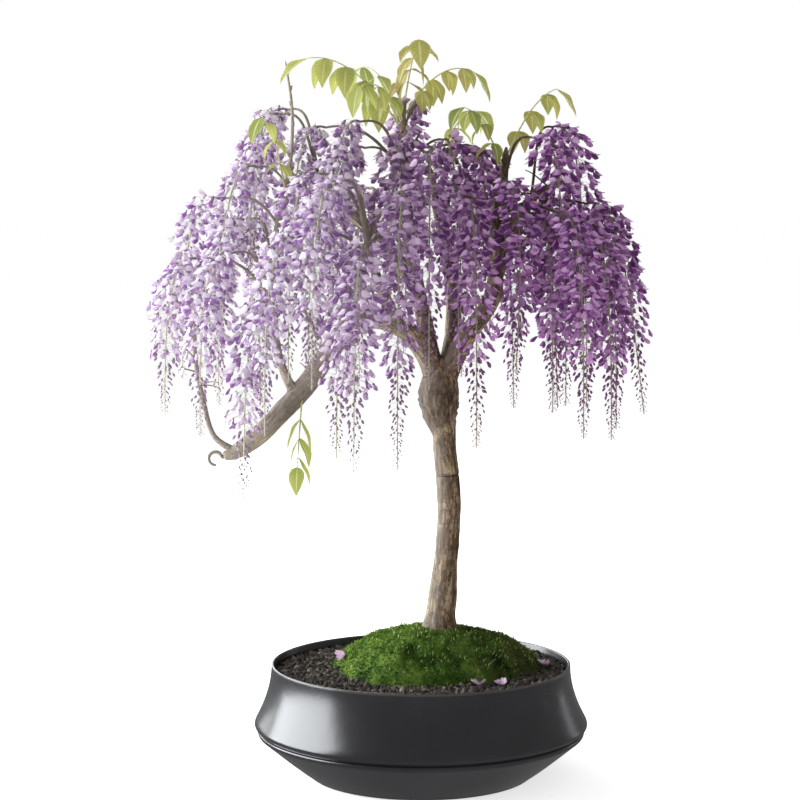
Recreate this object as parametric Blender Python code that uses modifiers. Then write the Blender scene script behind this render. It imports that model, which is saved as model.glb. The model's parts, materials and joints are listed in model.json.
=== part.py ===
"""Wisteria bonsai in flower, grown in a wide dark pot: pot, soil, moss, tree, racemes, leaves, petals.

Metres, +Z up, front towards -Y. The origin is the centre of the pot's foot, where it rests.
"""

import math
import random
from dataclasses import dataclass

import bmesh
import bpy
import numpy as np
from mathutils import Vector
from mathutils.bvhtree import BVHTree

UP = Vector((0.0, 0.0, 1.0))
GAP = 0.0003  # clearance between pieces that touch

# Pot
RIM_Z = 0.149
RIM_RADIUS = 0.200
LIP_THICKNESS = 0.0034
LIP_CROWN = 0.0012
WIDEST_Z = 0.0735
WIDEST_RADIUS = 0.2222
FLARE_POWER = 1.9
FLARE_POINTS = 4
FOOT_RADIUS = 0.147
POT_WALL = 0.006
POT_FLOOR = 0.010
POT_STEPS = 30

# Soil and moss
SOIL_Z = 0.138
SOIL_RELIEF = 0.0022
MOSS_CENTRE = Vector((0.018, 0.0, SOIL_Z + GAP))
MOSS_HALF_WIDTH = 0.138
MOSS_HALF_DEPTH = 0.104
MOSS_HEIGHT = 0.058
MOSS_SEGMENTS = 24
MOSS_CLUMP = 0.004

# Trunk: the stub below the moss stands in a plain round hole
TRUNK_X = 0.025
STUB_RADIUS = 0.0225
STUB_BOTTOM_Z = 0.055
HOLE_RADIUS = 0.0232
HOLE_SIDES = 24
BARK_RELIEF = 0.0016

# Racemes: a bare stalk, open florets, then buds down to the tip
STALK = 0.022
STALK_RADIUS = 0.0018
OPEN_SHARE = 0.66
OPEN_STEP = 0.0193
OPEN_CORE = 0.0050
OPEN_REACH = 0.0248
FLORET_HALF_WIDTH = 0.0094
FLORET_DROOP = 0.50
BUD_STEP = 0.0170
BUD_CORE = 0.0026
BUD_REACH = 0.0145
BUD_DROOP = 0.75
TIP_REACH = 0.0045
ROW = 3
ROW_TWIST = math.radians(52)
UNDER_ARCH = 0.6  # how much shorter a floret is on the underside of the raceme's arch
RACEME_CLEARANCE = 0.0015
SAMPLE_STEP = 5
NEAR_RACEMES = 0.14
ACROSS_SHARE = 0.6
SPREAD_ROUNDS = 120
SEED = 11

# Leaves and petals
LEAF_THICKNESS = 0.0008
RIB_HALF_WIDTH = 0.0013
PETAL_LENGTH = 0.0085
PETAL_WIDTH = 0.0065

# Points along each stem, as (x, y, z, radius)
TRUNK = (
    (TRUNK_X, 0.0, STUB_BOTTOM_Z, STUB_RADIUS),
    (TRUNK_X, 0.0, 0.190, STUB_RADIUS),
    (0.0265, 0.000, 0.214, 0.0200),
    (0.0293, 0.000, 0.243, 0.0186),
    (0.0333, -0.002, 0.290, 0.0162),
    (0.0365, -0.003, 0.338, 0.0155),
    (0.0370, -0.002, 0.374, 0.0157),
    (0.0350, 0.000, 0.404, 0.0152),
    (0.0320, 0.001, 0.434, 0.0150),
    (0.0300, 0.001, 0.460, 0.0158),
    (0.0255, 0.000, 0.482, 0.0220),
    (0.0235, 0.000, 0.506, 0.0256),
    (0.0250, 0.000, 0.530, 0.0228),
    (0.0270, 0.000, 0.546, 0.0150),
)
LIMBS = {
    "left": (
        (0.0220, 0.000, 0.520, 0.0165),
        (0.0090, -0.004, 0.560, 0.0150),
        (-0.0200, -0.010, 0.596, 0.0142),
        (-0.0613, -0.018, 0.612, 0.0138),
        (-0.0960, -0.024, 0.598, 0.0136),
        (-0.1267, -0.030, 0.561, 0.0136),
        (-0.1480, -0.036, 0.529, 0.0134),
        (-0.1760, -0.042, 0.498, 0.0132),
        (-0.2100, -0.048, 0.463, 0.0126),
        (-0.2413, -0.052, 0.440, 0.0098),
        (-0.2580, -0.054, 0.434, 0.0060),
    ),
    "right": (
        (0.0280, 0.000, 0.520, 0.0165),
        (0.0410, -0.002, 0.552, 0.0140),
        (0.0600, -0.006, 0.588, 0.0128),
        (0.0920, -0.012, 0.637, 0.0116),
        (0.0985, -0.018, 0.690, 0.0104),
        (0.0990, -0.020, 0.740, 0.0090),
        (0.1060, -0.020, 0.786, 0.0068),
        (0.1100, -0.016, 0.826, 0.0044),
    ),
    "centre": (
        (0.0210, 0.004, 0.520, 0.0140),
        (0.0120, 0.020, 0.570, 0.0118),
        (-0.0010, 0.032, 0.630, 0.0104),
        (-0.0120, 0.036, 0.690, 0.0090),
        (-0.0180, 0.032, 0.755, 0.0074),
        (-0.0230, 0.022, 0.815, 0.0056),
        (-0.0240, 0.012, 0.862, 0.0038),
        (-0.0220, 0.004, 0.894, 0.0028),
    ),
    "back": (
        (0.0290, 0.004, 0.525, 0.0130),
        (0.0400, 0.040, 0.570, 0.0110),
        (0.0440, 0.085, 0.625, 0.0096),
        (0.0360, 0.120, 0.690, 0.0080),
        (0.0240, 0.135, 0.750, 0.0062),
        (0.0160, 0.140, 0.800, 0.0042),
    ),
    "front": (
        (-0.0280, -0.012, 0.600, 0.0100),
        (-0.0540, -0.045, 0.655, 0.0084),
        (-0.0690, -0.078, 0.712, 0.0068),
        (-0.0780, -0.098, 0.768, 0.0048),
    ),
    "left_top": (
        (-0.0040, 0.032, 0.648, 0.0088),
        (-0.0560, 0.045, 0.715, 0.0074),
        (-0.1100, 0.045, 0.765, 0.0060),
        (-0.1560, 0.036, 0.800, 0.0042),
    ),
    "left_riser": (
        (-0.1650, -0.040, 0.512, 0.0072),
        (-0.1860, -0.036, 0.560, 0.0060),
        (-0.1930, -0.030, 0.612, 0.0054),
        (-0.1960, -0.024, 0.665, 0.0050),
        (-0.1900, -0.018, 0.725, 0.0044),
        (-0.1750, -0.014, 0.785, 0.0036),
    ),
    "far_left": (
        (-0.2440, -0.052, 0.440, 0.0050),
        (-0.2720, -0.050, 0.462, 0.0036),
        (-0.2860, -0.040, 0.508, 0.0033),
        (-0.2960, -0.028, 0.556, 0.0030),
        (-0.2980, -0.018, 0.604, 0.0026),
    ),
    "right_out": (
        (0.0980, -0.018, 0.700, 0.0072),
        (0.1260, -0.026, 0.748, 0.0060),
        (0.1560, -0.034, 0.778, 0.0050),
        (0.1860, -0.038, 0.790, 0.0038),
    ),
    "right_back": (
        (0.0950, -0.014, 0.655, 0.0080),
        (0.1180, 0.034, 0.705, 0.0064),
        (0.1420, 0.076, 0.748, 0.0050),
        (0.1540, 0.104, 0.776, 0.0038),
    ),
    "left_back": (
        (-0.0080, 0.035, 0.665, 0.0076),
        (-0.0640, 0.092, 0.722, 0.0060),
        (-0.1240, 0.124, 0.756, 0.0048),
        (-0.1720, 0.128, 0.768, 0.0036),
    ),
    "shoot": (
        (-0.1790, -0.015, 0.772, 0.0030),
        (-0.1700, -0.014, 0.830, 0.0024),
        (-0.1690, -0.012, 0.885, 0.0020),
        (-0.1760, -0.010, 0.938, 0.0014),
    ),
}
LIMB_SAMPLES = 7
HOOK_CENTRE = Vector((-0.2690, -0.054, 0.4310))
HOOK_RADIUS = 0.0085
HOOK_THICKNESS = 0.0026


@dataclass
class Raceme:
    """One hanging raceme: its hanging line, the height it springs from and its length."""

    x: float
    y: float
    top: float
    length: float
    reach: float = 0.045
    lean_x: float = 0.0
    lean_y: float = 0.0


# Racemes that face the front, from right to left
FRONT_RACEMES = (
    Raceme(0.262, -0.030, 0.762, 0.275, 0.050, 0.026),
    Raceme(0.249, 0.050, 0.745, 0.285, 0.045),
    Raceme(0.222, -0.092, 0.735, 0.275, 0.045),
    Raceme(0.203, -0.018, 0.775, 0.280, 0.045),
    Raceme(0.210, 0.110, 0.865, 0.255, 0.055),
    Raceme(0.170, -0.140, 0.752, 0.280, 0.045),
    Raceme(0.156, -0.072, 0.750, 0.255, 0.030),
    Raceme(0.138, -0.098, 0.846, 0.165, 0.045),
    Raceme(0.116, -0.126, 0.790, 0.240, 0.045, -0.010),
    Raceme(0.078, -0.070, 0.838, 0.245, 0.040),
    Raceme(0.058, -0.140, 0.768, 0.310, 0.045),
    Raceme(0.030, -0.065, 0.845, 0.300, 0.045),
    Raceme(-0.006, -0.132, 0.832, 0.305, 0.045),
    Raceme(-0.026, -0.075, 0.856, 0.250, 0.045),
    Raceme(-0.050, -0.165, 0.782, 0.350, 0.040),
    Raceme(-0.082, -0.215, 0.715, 0.280, 0.045),
    Raceme(-0.098, -0.050, 0.868, 0.245, 0.040),
    Raceme(-0.108, -0.135, 0.690, 0.250, 0.045),
    Raceme(-0.136, -0.205, 0.790, 0.255, 0.060),
    Raceme(-0.158, -0.115, 0.800, 0.265, 0.045),
    Raceme(-0.186, -0.175, 0.720, 0.245, 0.050),
    Raceme(-0.160, 0.000, 0.862, 0.200, 0.045),
    Raceme(-0.214, 0.034, 0.880, 0.230, 0.045),
    Raceme(-0.226, -0.112, 0.640, 0.256, 0.045),
    Raceme(-0.236, 0.060, 0.888, 0.270, 0.055),
    Raceme(-0.258, -0.020, 0.810, 0.250, 0.050),
    Raceme(-0.284, -0.110, 0.700, 0.235, 0.045),
    Raceme(-0.312, 0.045, 0.768, 0.240, 0.055),
    Raceme(-0.326, -0.040, 0.690, 0.200, 0.045),
)
# Racemes behind, on two arcs round the tree, as (count, half width, half depth, top, length)
BACK_ARCS = (
    (9, 0.262, 0.216, 0.800, 0.270),
    (3, 0.105, 0.090, 0.888, 0.200),
)
BACK_START = math.radians(22)
BACK_JITTER = 0.010


@dataclass
class Leaf:
    """One compound leaf, from a point along a limb to its tip."""

    limb: str
    along: float
    tip: tuple
    rise: float
    pairs: int
    leaflet: float
    green: str


LEAVES = (
    Leaf("centre", 0.84, (-0.146, -0.034, 0.950), 0.055, 4, 0.060, "leaf_green"),
    Leaf("centre", 1.00, (-0.004, -0.060, 0.972), 0.020, 4, 0.058, "leaf_bronze"),
    Leaf("centre", 0.93, (0.070, 0.030, 0.935), 0.050, 4, 0.046, "leaf_bronze"),
    Leaf("centre", 0.90, (-0.080, -0.150, 0.908), 0.040, 3, 0.044, "leaf_green"),
    Leaf("centre", 0.87, (-0.090, 0.104, 0.940), 0.062, 3, 0.046, "leaf_green"),
    Leaf("right", 0.93, (0.052, -0.085, 0.885), 0.035, 3, 0.042, "leaf_green"),
    Leaf("right", 0.98, (0.178, 0.004, 0.912), 0.035, 3, 0.048, "leaf_bronze"),
    Leaf("left_riser", 0.97, (-0.205, -0.085, 0.872), 0.045, 3, 0.042, "leaf_green"),
    Leaf("left", 0.62, (-0.160, -0.100, 0.425), 0.010, 3, 0.044, "leaf_green"),
    Leaf("back", 0.98, (0.080, 0.205, 0.890), 0.050, 3, 0.050, "leaf_green"),
)
# Fallen petals on the soil and the moss, as (x, y, turn in degrees)
FALLEN_PETALS = (
    (-0.104, -0.003, 20),
    (0.073, -0.108, 70),
    (0.100, -0.103, -35),
    (0.163, -0.006, 10),
)


def clear_scene():
    """Remove every object of the scene."""
    for obj in list(bpy.data.objects):
        bpy.data.objects.remove(obj, do_unlink=True)


def new_collection(name, hidden=False):
    """A collection linked to the scene."""
    made = bpy.data.collections.new(name)
    bpy.context.scene.collection.children.link(made)
    made.hide_render = hidden
    return made


def finish(name, colour, roughness, metallic=0.0):
    """A Principled material."""
    material = bpy.data.materials.new(name)
    material.use_nodes = True
    shader = material.node_tree.nodes["Principled BSDF"]
    shader.inputs["Base Color"].default_value = (*colour, 1.0)
    shader.inputs["Roughness"].default_value = roughness
    shader.inputs["Metallic"].default_value = metallic
    material.diffuse_color = (*colour, 1.0)
    return material


def make_finishes():
    """Every finish of the part, by name."""
    rows = (
        ("pot_charcoal", (0.030, 0.030, 0.033), 0.35),
        ("soil", (0.030, 0.022, 0.017), 0.95),
        ("moss", (0.070, 0.170, 0.020), 0.95),
        ("bark", (0.190, 0.145, 0.105), 0.90),
        ("flower_violet", (0.260, 0.110, 0.420), 0.60),
        ("flower_lilac", (0.520, 0.380, 0.660), 0.60),
        ("leaf_green", (0.230, 0.330, 0.070), 0.50),
        ("leaf_bronze", (0.360, 0.300, 0.060), 0.50),
        ("petal", (0.650, 0.480, 0.660), 0.60),
    )
    return {name: finish(name, colour, roughness) for name, colour, roughness in rows}


def object_from(mesh, name, collection, material=None):
    """A named object for a mesh, in a collection."""
    obj = bpy.data.objects.new(name, mesh)
    collection.objects.link(obj)
    if material:
        mesh.materials.clear()
        mesh.materials.append(material)
    return obj


def mesh_from(bm, name):
    """A mesh from a bmesh, with its faces turned outward."""
    bmesh.ops.recalc_face_normals(bm, faces=bm.faces)
    mesh = bpy.data.meshes.new(name)
    bm.to_mesh(mesh)
    bm.free()
    return mesh


def evaluated_mesh(obj):
    """The object's mesh with its modifiers applied."""
    bpy.context.view_layer.update()
    graph = bpy.context.evaluated_depsgraph_get()
    return bpy.data.meshes.new_from_object(obj.evaluated_get(graph))


def turned(name, profile, collection, steps=POT_STEPS):
    """A mesh turned about Z from (radius, height) points, outer side first, top to bottom."""
    mesh = bpy.data.meshes.new(name)
    edges = [(i, i + 1) for i in range(len(profile) - 1)]
    mesh.from_pydata([(r, 0.0, z) for r, z in profile], edges, [])
    obj = object_from(mesh, name, collection)
    screw = obj.modifiers.new("Turn", "SCREW")
    screw.steps = steps
    screw.render_steps = steps
    screw.use_merge_vertices = True
    screw.merge_threshold = 0.00001
    result = evaluated_mesh(obj)
    bpy.data.objects.remove(obj, do_unlink=True)
    return result


def subtract_trunk_hole(obj, cutter):
    """Cut the plain hole that the trunk's stub stands in, and apply it."""
    cut = obj.modifiers.new("Trunk hole", "BOOLEAN")
    cut.operation = "DIFFERENCE"
    cut.object = cutter
    mesh = evaluated_mesh(obj)
    obj.modifiers.clear()
    obj.data = mesh


def trunk_hole_cutter(collection):
    """The cylinder that cuts the trunk's hole."""
    bm = bmesh.new()
    bmesh.ops.create_cone(
        bm, cap_ends=True, segments=HOLE_SIDES, radius1=HOLE_RADIUS, radius2=HOLE_RADIUS,
        depth=0.4,
    )
    bmesh.ops.translate(bm, verts=bm.verts, vec=(TRUNK_X, 0.0, STUB_BOTTOM_Z - GAP + 0.2))
    obj = object_from(mesh_from(bm, "trunk_hole"), "trunk_hole", collection)
    obj.hide_render = True
    obj.display_type = "WIRE"
    return obj


def flare_radius(z):
    """The pot's outer radius between its rim and its widest line."""
    share = (RIM_Z - z) / (RIM_Z - WIDEST_Z)
    return RIM_RADIUS + (WIDEST_RADIUS - RIM_RADIUS) * share**FLARE_POWER


def pot_outer_profile():
    """The pot's outside from the lip's crown down to the foot's edge."""
    crown = (RIM_RADIUS - LIP_THICKNESS / 2, RIM_Z + LIP_CROWN)
    steps = [RIM_Z + (WIDEST_Z - RIM_Z) * i / FLARE_POINTS for i in range(FLARE_POINTS + 1)]
    flare = [(flare_radius(z), z) for z in steps]
    edge = [(0.2228, 0.0695), (0.2210, 0.0655), (0.2162, 0.0640)]
    lower = [(0.2186, 0.0605), (0.2180, 0.0560), (0.1960, 0.0365), (0.1680, 0.0160)]
    return [crown] + flare + edge + lower + [(FOOT_RADIUS + 0.004, 0.003), (FOOT_RADIUS, 0.0)]


def pot_inner_profile():
    """The pot's inside from the middle of its floor up to the lip."""
    return [
        (0.0, POT_FLOOR),
        (0.138, POT_FLOOR),
        (WIDEST_RADIUS - 0.0090, 0.0665),
        (flare_radius(0.100) - POT_WALL, 0.100),
        (RIM_RADIUS - POT_WALL, 0.138),
        (RIM_RADIUS - LIP_THICKNESS, RIM_Z),
    ]


def make_pot(collection, material):
    """The wide pot: a flared upper body over a tapered lower one, with a groove between."""
    profile = pot_outer_profile() + [(0.0, 0.0)] + pot_inner_profile()
    profile.append(profile[0])
    mesh = turned("pot", profile, collection)
    bm = bmesh.new()
    bm.from_mesh(mesh)
    bmesh.ops.remove_doubles(bm, verts=bm.verts, dist=0.00001)
    obj = object_from(mesh_from(bm, "pot"), "pot", collection, material)
    obj.data.shade_smooth()
    return obj


def moss_share(x, y):
    """0 at the middle of the moss mound and 1 at its edge."""
    across = (x - MOSS_CENTRE.x) / MOSS_HALF_WIDTH
    along = (y - MOSS_CENTRE.y) / MOSS_HALF_DEPTH
    return math.hypot(across, along)


def soil_relief(x, y):
    """How far the soil's surface stands above or below its level. It is flat beneath the moss."""
    clear = min(1.0, max(0.0, (moss_share(x, y) - 1.10) / 0.10))
    coarse = math.sin(61 * x + 17) * math.sin(73 * y + 5)
    fine = math.sin(173 * x - 40 * y) * math.cos(151 * y + 60 * x)
    return SOIL_RELIEF * clear * (0.6 * coarse + 0.4 * fine)


def make_soil(collection, material, cutter):
    """The soil that fills the pot, with the trunk's hole."""
    inner = [(r - GAP, z) for r, z in pot_inner_profile()[1:-1]]
    edge_radius, _ = inner[-1]
    rings = [(edge_radius * share, SOIL_Z) for share in (0.0, 0.62, 0.78, 0.90)]
    walls = [(edge_radius, SOIL_Z)] + inner[-2:0:-1] + [(inner[0][0], POT_FLOOR + GAP)]
    mesh = turned("soil", rings + walls + [(0.0, POT_FLOOR + GAP)], collection)
    bm = bmesh.new()
    bm.from_mesh(mesh)
    bmesh.ops.remove_doubles(bm, verts=bm.verts, dist=0.00001)
    for vert in bm.verts:
        inside = math.hypot(vert.co.x, vert.co.y) < edge_radius - 0.002
        if inside and vert.co.z > SOIL_Z - 0.001:
            vert.co.z += soil_relief(vert.co.x, vert.co.y)
    obj = object_from(mesh_from(bm, "soil"), "soil", collection, material)
    subtract_trunk_hole(obj, cutter)
    return obj


def make_moss(collection, material, cutter):
    """The moss mound: a low dome raised into soft clumps, with the trunk's hole."""
    bm = bmesh.new()
    bmesh.ops.create_uvsphere(
        bm, u_segments=MOSS_SEGMENTS, v_segments=12, radius=1.0
    )
    low = [v for v in bm.verts if v.co.z < -0.01]
    bmesh.ops.delete(bm, geom=low, context="VERTS")
    for vert in bm.verts:
        angle = math.atan2(vert.co.y, vert.co.x)
        share = math.hypot(vert.co.x, vert.co.y)
        edge = 1.0 + 0.05 * math.sin(3 * angle + 1) + 0.04 * math.sin(5 * angle)
        height = max(0.0, 1.0 - share**2.2) ** 0.75
        clump = math.sin(7 * angle + 9 * share) * math.cos(4 * angle - 11 * share)
        lift = MOSS_HEIGHT * height + MOSS_CLUMP * clump * min(1.0, 3 * height) * share
        vert.co = MOSS_CENTRE + Vector(
            (vert.co.x * MOSS_HALF_WIDTH * edge, vert.co.y * MOSS_HALF_DEPTH * edge, lift)
        )
    rim = [e for e in bm.edges if e.is_boundary]
    bmesh.ops.contextual_create(bm, geom=rim)
    obj = object_from(mesh_from(bm, "moss"), "moss", collection, material)
    subtract_trunk_hole(obj, cutter)
    return obj


def smooth_path(points, count):
    """Points read from a smooth curve through (x, y, z, radius) points."""
    rows = [Vector(p) for p in points]
    rows = [2 * rows[0] - rows[1]] + rows + [2 * rows[-1] - rows[-2]]
    spans = len(points) - 1
    result = []
    for i in range(count):
        place = spans * i / (count - 1)
        k = min(int(place), spans - 1)
        t = place - k
        a, b, c, d = rows[k : k + 4]
        result.append(
            0.5 * (2 * b + (c - a) * t + (2 * a - 5 * b + 4 * c - d) * t**2
                   + (3 * b - a - 3 * c + d) * t**3)
        )
    return result


def cubic(p0, p1, p2, p3, t):
    """A point on a cubic Bezier curve."""
    s = 1.0 - t
    return s**3 * p0 + 3 * s * s * t * p1 + 3 * s * t * t * p2 + t**3 * p3


def tube(name, rows, resolution, collection):
    """A closed tube mesh object along (x, y, z, radius) rows. Resolution 0 gives 4 sides."""
    curve = bpy.data.curves.new(name, "CURVE")
    curve.dimensions = "3D"
    curve.bevel_depth = 1.0
    curve.bevel_resolution = resolution
    curve.use_fill_caps = True
    spline = curve.splines.new("POLY")
    spline.points.add(len(rows) - 1)
    for point, row in zip(spline.points, rows):
        point.co = (row[0], row[1], row[2], 1.0)
        point.radius = row[3]
    guide = object_from(curve, name + "_guide", collection)
    mesh = evaluated_mesh(guide)
    mesh.transform(guide.matrix_world)
    bpy.data.objects.remove(guide, do_unlink=True)
    bm = bmesh.new()
    bm.from_mesh(mesh)
    bmesh.ops.remove_doubles(bm, verts=bm.verts, dist=0.000001)
    return object_from(mesh_from(bm, name), name, collection)


def trunk_centre(z):
    """The trunk's centre line and radius at a height."""
    for low, high in zip(TRUNK, TRUNK[1:]):
        if z <= high[2]:
            t = max(0.0, (z - low[2]) / (high[2] - low[2]))
            return Vector(low).lerp(Vector(high), t)
    return Vector(TRUNK[-1])


def raise_bark(mesh):
    """Raise long low ridges on the trunk above its stub."""
    for vert in mesh.vertices:
        if vert.co.z < 0.195:
            continue
        centre = trunk_centre(vert.co.z)
        out = Vector((vert.co.x - centre[0], vert.co.y - centre[1], 0.0))
        if out.length < centre[3] * 0.5:
            continue
        angle = math.atan2(out.y, out.x)
        ridge = math.sin(3 * angle + 16 * vert.co.z) + 0.6 * math.sin(5 * angle - 23 * vert.co.z)
        vert.co += out.normalized() * BARK_RELIEF * ridge


def hook_rows():
    """The small dry hook of an old tendril at the left limb's end."""
    rows = [(-0.2520, -0.0535, 0.4355, HOOK_THICKNESS)]
    for i in range(7):
        angle = math.radians(10 + 44 * i)
        spoke = Vector((math.cos(angle), 0.15 * math.sin(angle), math.sin(angle)))
        place = HOOK_CENTRE + HOOK_RADIUS * spoke
        rows.append((*place, HOOK_THICKNESS * (1.0 - 0.04 * i)))
    return rows


def unite(base, others):
    """Join a collection's objects to the base with one Boolean union, and remove them."""
    join = base.modifiers.new("Join", "BOOLEAN")
    join.operation = "UNION"
    join.operand_type = "COLLECTION"
    join.collection = others
    join.solver = "EXACT"
    mesh = evaluated_mesh(base)
    drop_scraps(mesh)
    base.modifiers.clear()
    base.data = mesh
    for obj in list(others.objects):
        bpy.data.objects.remove(obj, do_unlink=True)
    bpy.data.collections.remove(others)


def drop_scraps(mesh):
    """Keep the largest connected body of a mesh."""
    bm = bmesh.new()
    bm.from_mesh(mesh)
    left, largest = set(bm.verts), []
    while left:
        body, edge = [], [left.pop()]
        while edge:
            vert = edge.pop()
            body.append(vert)
            near = {e.other_vert(vert) for e in vert.link_edges} & left
            left -= near
            edge.extend(near)
        largest = max(largest, body, key=len)
    kept = set(largest)
    bmesh.ops.delete(bm, geom=[v for v in bm.verts if v not in kept], context="VERTS")
    bm.to_mesh(mesh)
    bm.free()


def twig_root(limb_points, base, out):
    """The limb point that a twig leaves: the nearest to a spot inside and below its end."""
    aim = base - 0.080 * out - 0.060 * UP
    fit = [p for p in limb_points if p.z < base.z - 0.015 and (p.xyz - base).length > 0.030]
    return min(fit, key=lambda p: (p.xyz - aim).length)


def twig_rows(root, base, out):
    """A twig that arches from its root to a raceme's top, where it points outward."""
    start = root.xyz
    span = (base - start).length
    lift = start + 0.35 * (base - start) + 0.30 * span * UP
    near = base - 0.30 * span * out + 0.06 * span * UP
    thick = min(0.0040, 0.75 * root.w, 0.0020 + 0.016 * span)
    count = 4 if span < 0.10 else 5
    rows = []
    for i in range(count):
        t = i / (count - 1)
        place = cubic(start, lift, near, base, t)
        rows.append((*place, thick + (STALK_RADIUS - thick) * t))
    return rows


def outward(x, y):
    """The level direction away from the crown's middle."""
    return Vector((x - 0.02, y, 0.0)).normalized()


def raceme_base(raceme):
    """Where a raceme springs from its twig."""
    return Vector((raceme.x, raceme.y, raceme.top)) - raceme.reach * outward(raceme.x, raceme.y)


def raceme_curve(raceme):
    """Points along a raceme, every few millimetres: it arches out of its twig and then hangs."""
    out = outward(raceme.x, raceme.y)
    base = raceme_base(raceme)
    lean = Vector((raceme.lean_x, raceme.lean_y, 0.0))
    over = base + 0.70 * raceme.reach * out + 0.012 * UP
    turn = base + raceme.reach * out - 0.22 * raceme.length * UP
    tip = base + raceme.reach * out + lean - raceme.length * UP
    return [cubic(base, over, turn, tip, i / 60) for i in range(61)]


def along(curve, distance):
    """The point and the direction at a distance along a list of points."""
    for a, b in zip(curve, curve[1:]):
        step = (b - a).length
        if distance <= step:
            return a.lerp(b, distance / step), (b - a).normalized()
        distance -= step
    return curve[-1].copy(), (curve[-1] - curve[-2]).normalized()


def curve_length(curve):
    """The length of a list of points."""
    return sum((b - a).length for a, b in zip(curve, curve[1:]))


def raceme_reach(share):
    """A raceme's half width at a share of its length."""
    if share < OPEN_SHARE:
        return OPEN_REACH * min(1.0, 0.72 + 1.6 * share)
    down = (share - OPEN_SHARE) / (1.0 - OPEN_SHARE)
    return BUD_REACH + (TIP_REACH - BUD_REACH) * down


def raceme_samples(raceme):
    """Rows of (x, y, z, half width) along the flowering part of a raceme."""
    curve = raceme_curve(raceme)
    rows = []
    for i in range(SAMPLE_STEP, len(curve), SAMPLE_STEP):
        share = i / (len(curve) - 1)
        side = FLORET_HALF_WIDTH if share < OPEN_SHARE + 0.05 else 0.0
        room = math.hypot(1.06 * raceme_reach(max(0.0, share - 0.05)), side)
        rows.append((*curve[i], room))
    return np.array(rows)


def twig_samples(raceme, limb_points):
    """Rows of (x, y, z, radius) along a raceme's twig."""
    base = raceme_base(raceme)
    out = outward(raceme.x, raceme.y)
    rows = np.array(twig_rows(twig_root(limb_points, base, out), base, out))
    return np.vstack([rows[1:], 0.5 * (rows[1:] + rows[:-1])])


def push_between(one, other):
    """The level push that takes one set of samples off the other, or None if they are clear."""
    offset = one[:, None, :3] - other[None, :, :3]
    overlap = one[:, None, 3] + other[None, :, 3] + RACEME_CLEARANCE - np.linalg.norm(offset, axis=2)
    i, j = np.unravel_index(np.argmax(overlap), overlap.shape)
    if overlap[i, j] <= 0.0:
        return None
    across, deep, _ = offset[i, j]
    deep += math.copysign(0.003, deep)
    level = math.hypot(across, deep)
    return overlap[i, j] * across / level, overlap[i, j] * deep / level


def move(raceme, push, share):
    """Move a raceme by a share of a push, more in depth than across."""
    raceme.x += ACROSS_SHARE * share * push[0]
    raceme.y += share * push[1]


def spread_racemes(racemes, limb_points):
    """Move the racemes apart, mostly in depth, until they clear each other and the wood."""
    fine = 5 * LIMB_SAMPLES
    limbs = np.array([tuple(p) for rows in LIMBS.values() for p in smooth_path(rows, fine)])
    for _ in range(SPREAD_ROUNDS):
        twigs = [twig_samples(raceme, limb_points) for raceme in racemes]
        moved = False
        for i, one in enumerate(racemes):
            wood = np.vstack([limbs] + twigs[:i] + twigs[i + 1 :])
            push = push_between(raceme_samples(one), wood)
            if push:
                move(one, push, 0.7)
                moved = True
            for other in racemes[i + 1 :]:
                if math.hypot(one.x - other.x, one.y - other.y) > NEAR_RACEMES:
                    continue
                push = push_between(raceme_samples(one), raceme_samples(other))
                if push:
                    move(one, push, 0.5)
                    move(other, push, -0.5)
                    moved = True
        if not moved:
            return


def back_racemes(draw):
    """The racemes behind, set round two arcs with a small seeded jitter."""
    made = []
    for count, half_width, half_depth, top, length in BACK_ARCS:
        for i in range(count):
            angle = BACK_START + (math.pi - 2 * BACK_START) * i / (count - 1)
            jitter = [draw.uniform(-BACK_JITTER, BACK_JITTER) for _ in range(3)]
            made.append(
                Raceme(
                    half_width * math.cos(angle) - 0.010 + jitter[0],
                    half_depth * math.sin(angle) + jitter[1],
                    top - 0.060 * abs(math.cos(angle)) + jitter[2],
                    length * draw.uniform(0.92, 1.08),
                    lean_x=draw.uniform(-BACK_JITTER, BACK_JITTER),
                )
            )
    return made


def ring_of(bm, centre, across, side, radius, turn):
    """Four corners round a raceme's stem."""
    angles = [turn + 2 * math.pi * j / ROW for j in range(ROW)]
    return [
        bm.verts.new(centre + radius * (math.cos(a) * across + math.sin(a) * side))
        for a in angles
    ]


def clear_share(blockers, centre, droop, reach, half_width):
    """The share of a floret's reach that keeps it off the wood and the other racemes."""
    for share in (1.0, 0.85, 0.7, 0.55, 0.42, 0.3):
        clear = True
        for place in (0.4, 0.7, 1.0):
            spot = centre + place * share * reach * droop
            room = 0.0012 + place * share * half_width
            if any(blocker.find_nearest(spot, room)[0] for blocker in blockers):
                clear = False
                break
        if clear:
            return share
    return 0.3


def raise_floret(bm, cell, centre, out, reach, half_width, roll):
    """Raise one open floret from a cell of the stem: a wedge whose outer edge is its petal."""
    upper_a, upper_b, lower_b, lower_a = cell
    flat = Vector((-out.y, out.x, 0.0)).normalized()
    edge = math.cos(roll) * flat + math.sin(roll) * UP
    tip = centre + reach * (out - FLORET_DROOP * UP)
    one = bm.verts.new(tip - half_width * edge)
    two = bm.verts.new(tip + half_width * edge)
    if (two.co - one.co).dot(upper_b.co - upper_a.co + lower_b.co - lower_a.co) < 0.0:
        one, two = two, one
    bm.faces.new((upper_a, upper_b, two))
    bm.faces.new((upper_a, two, one))
    bm.faces.new((lower_a, one, two))
    bm.faces.new((lower_a, two, lower_b))
    bm.faces.new((upper_a, one, lower_a))
    bm.faces.new((upper_b, lower_b, two))


def raise_bud(bm, cell, centre, out, reach):
    """Raise one slender bud from a cell of the stem."""
    tip = bm.verts.new(centre + reach * (out - BUD_DROOP * UP))
    for i in range(4):
        bm.faces.new((cell[i], cell[(i + 1) % 4], tip))


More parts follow.
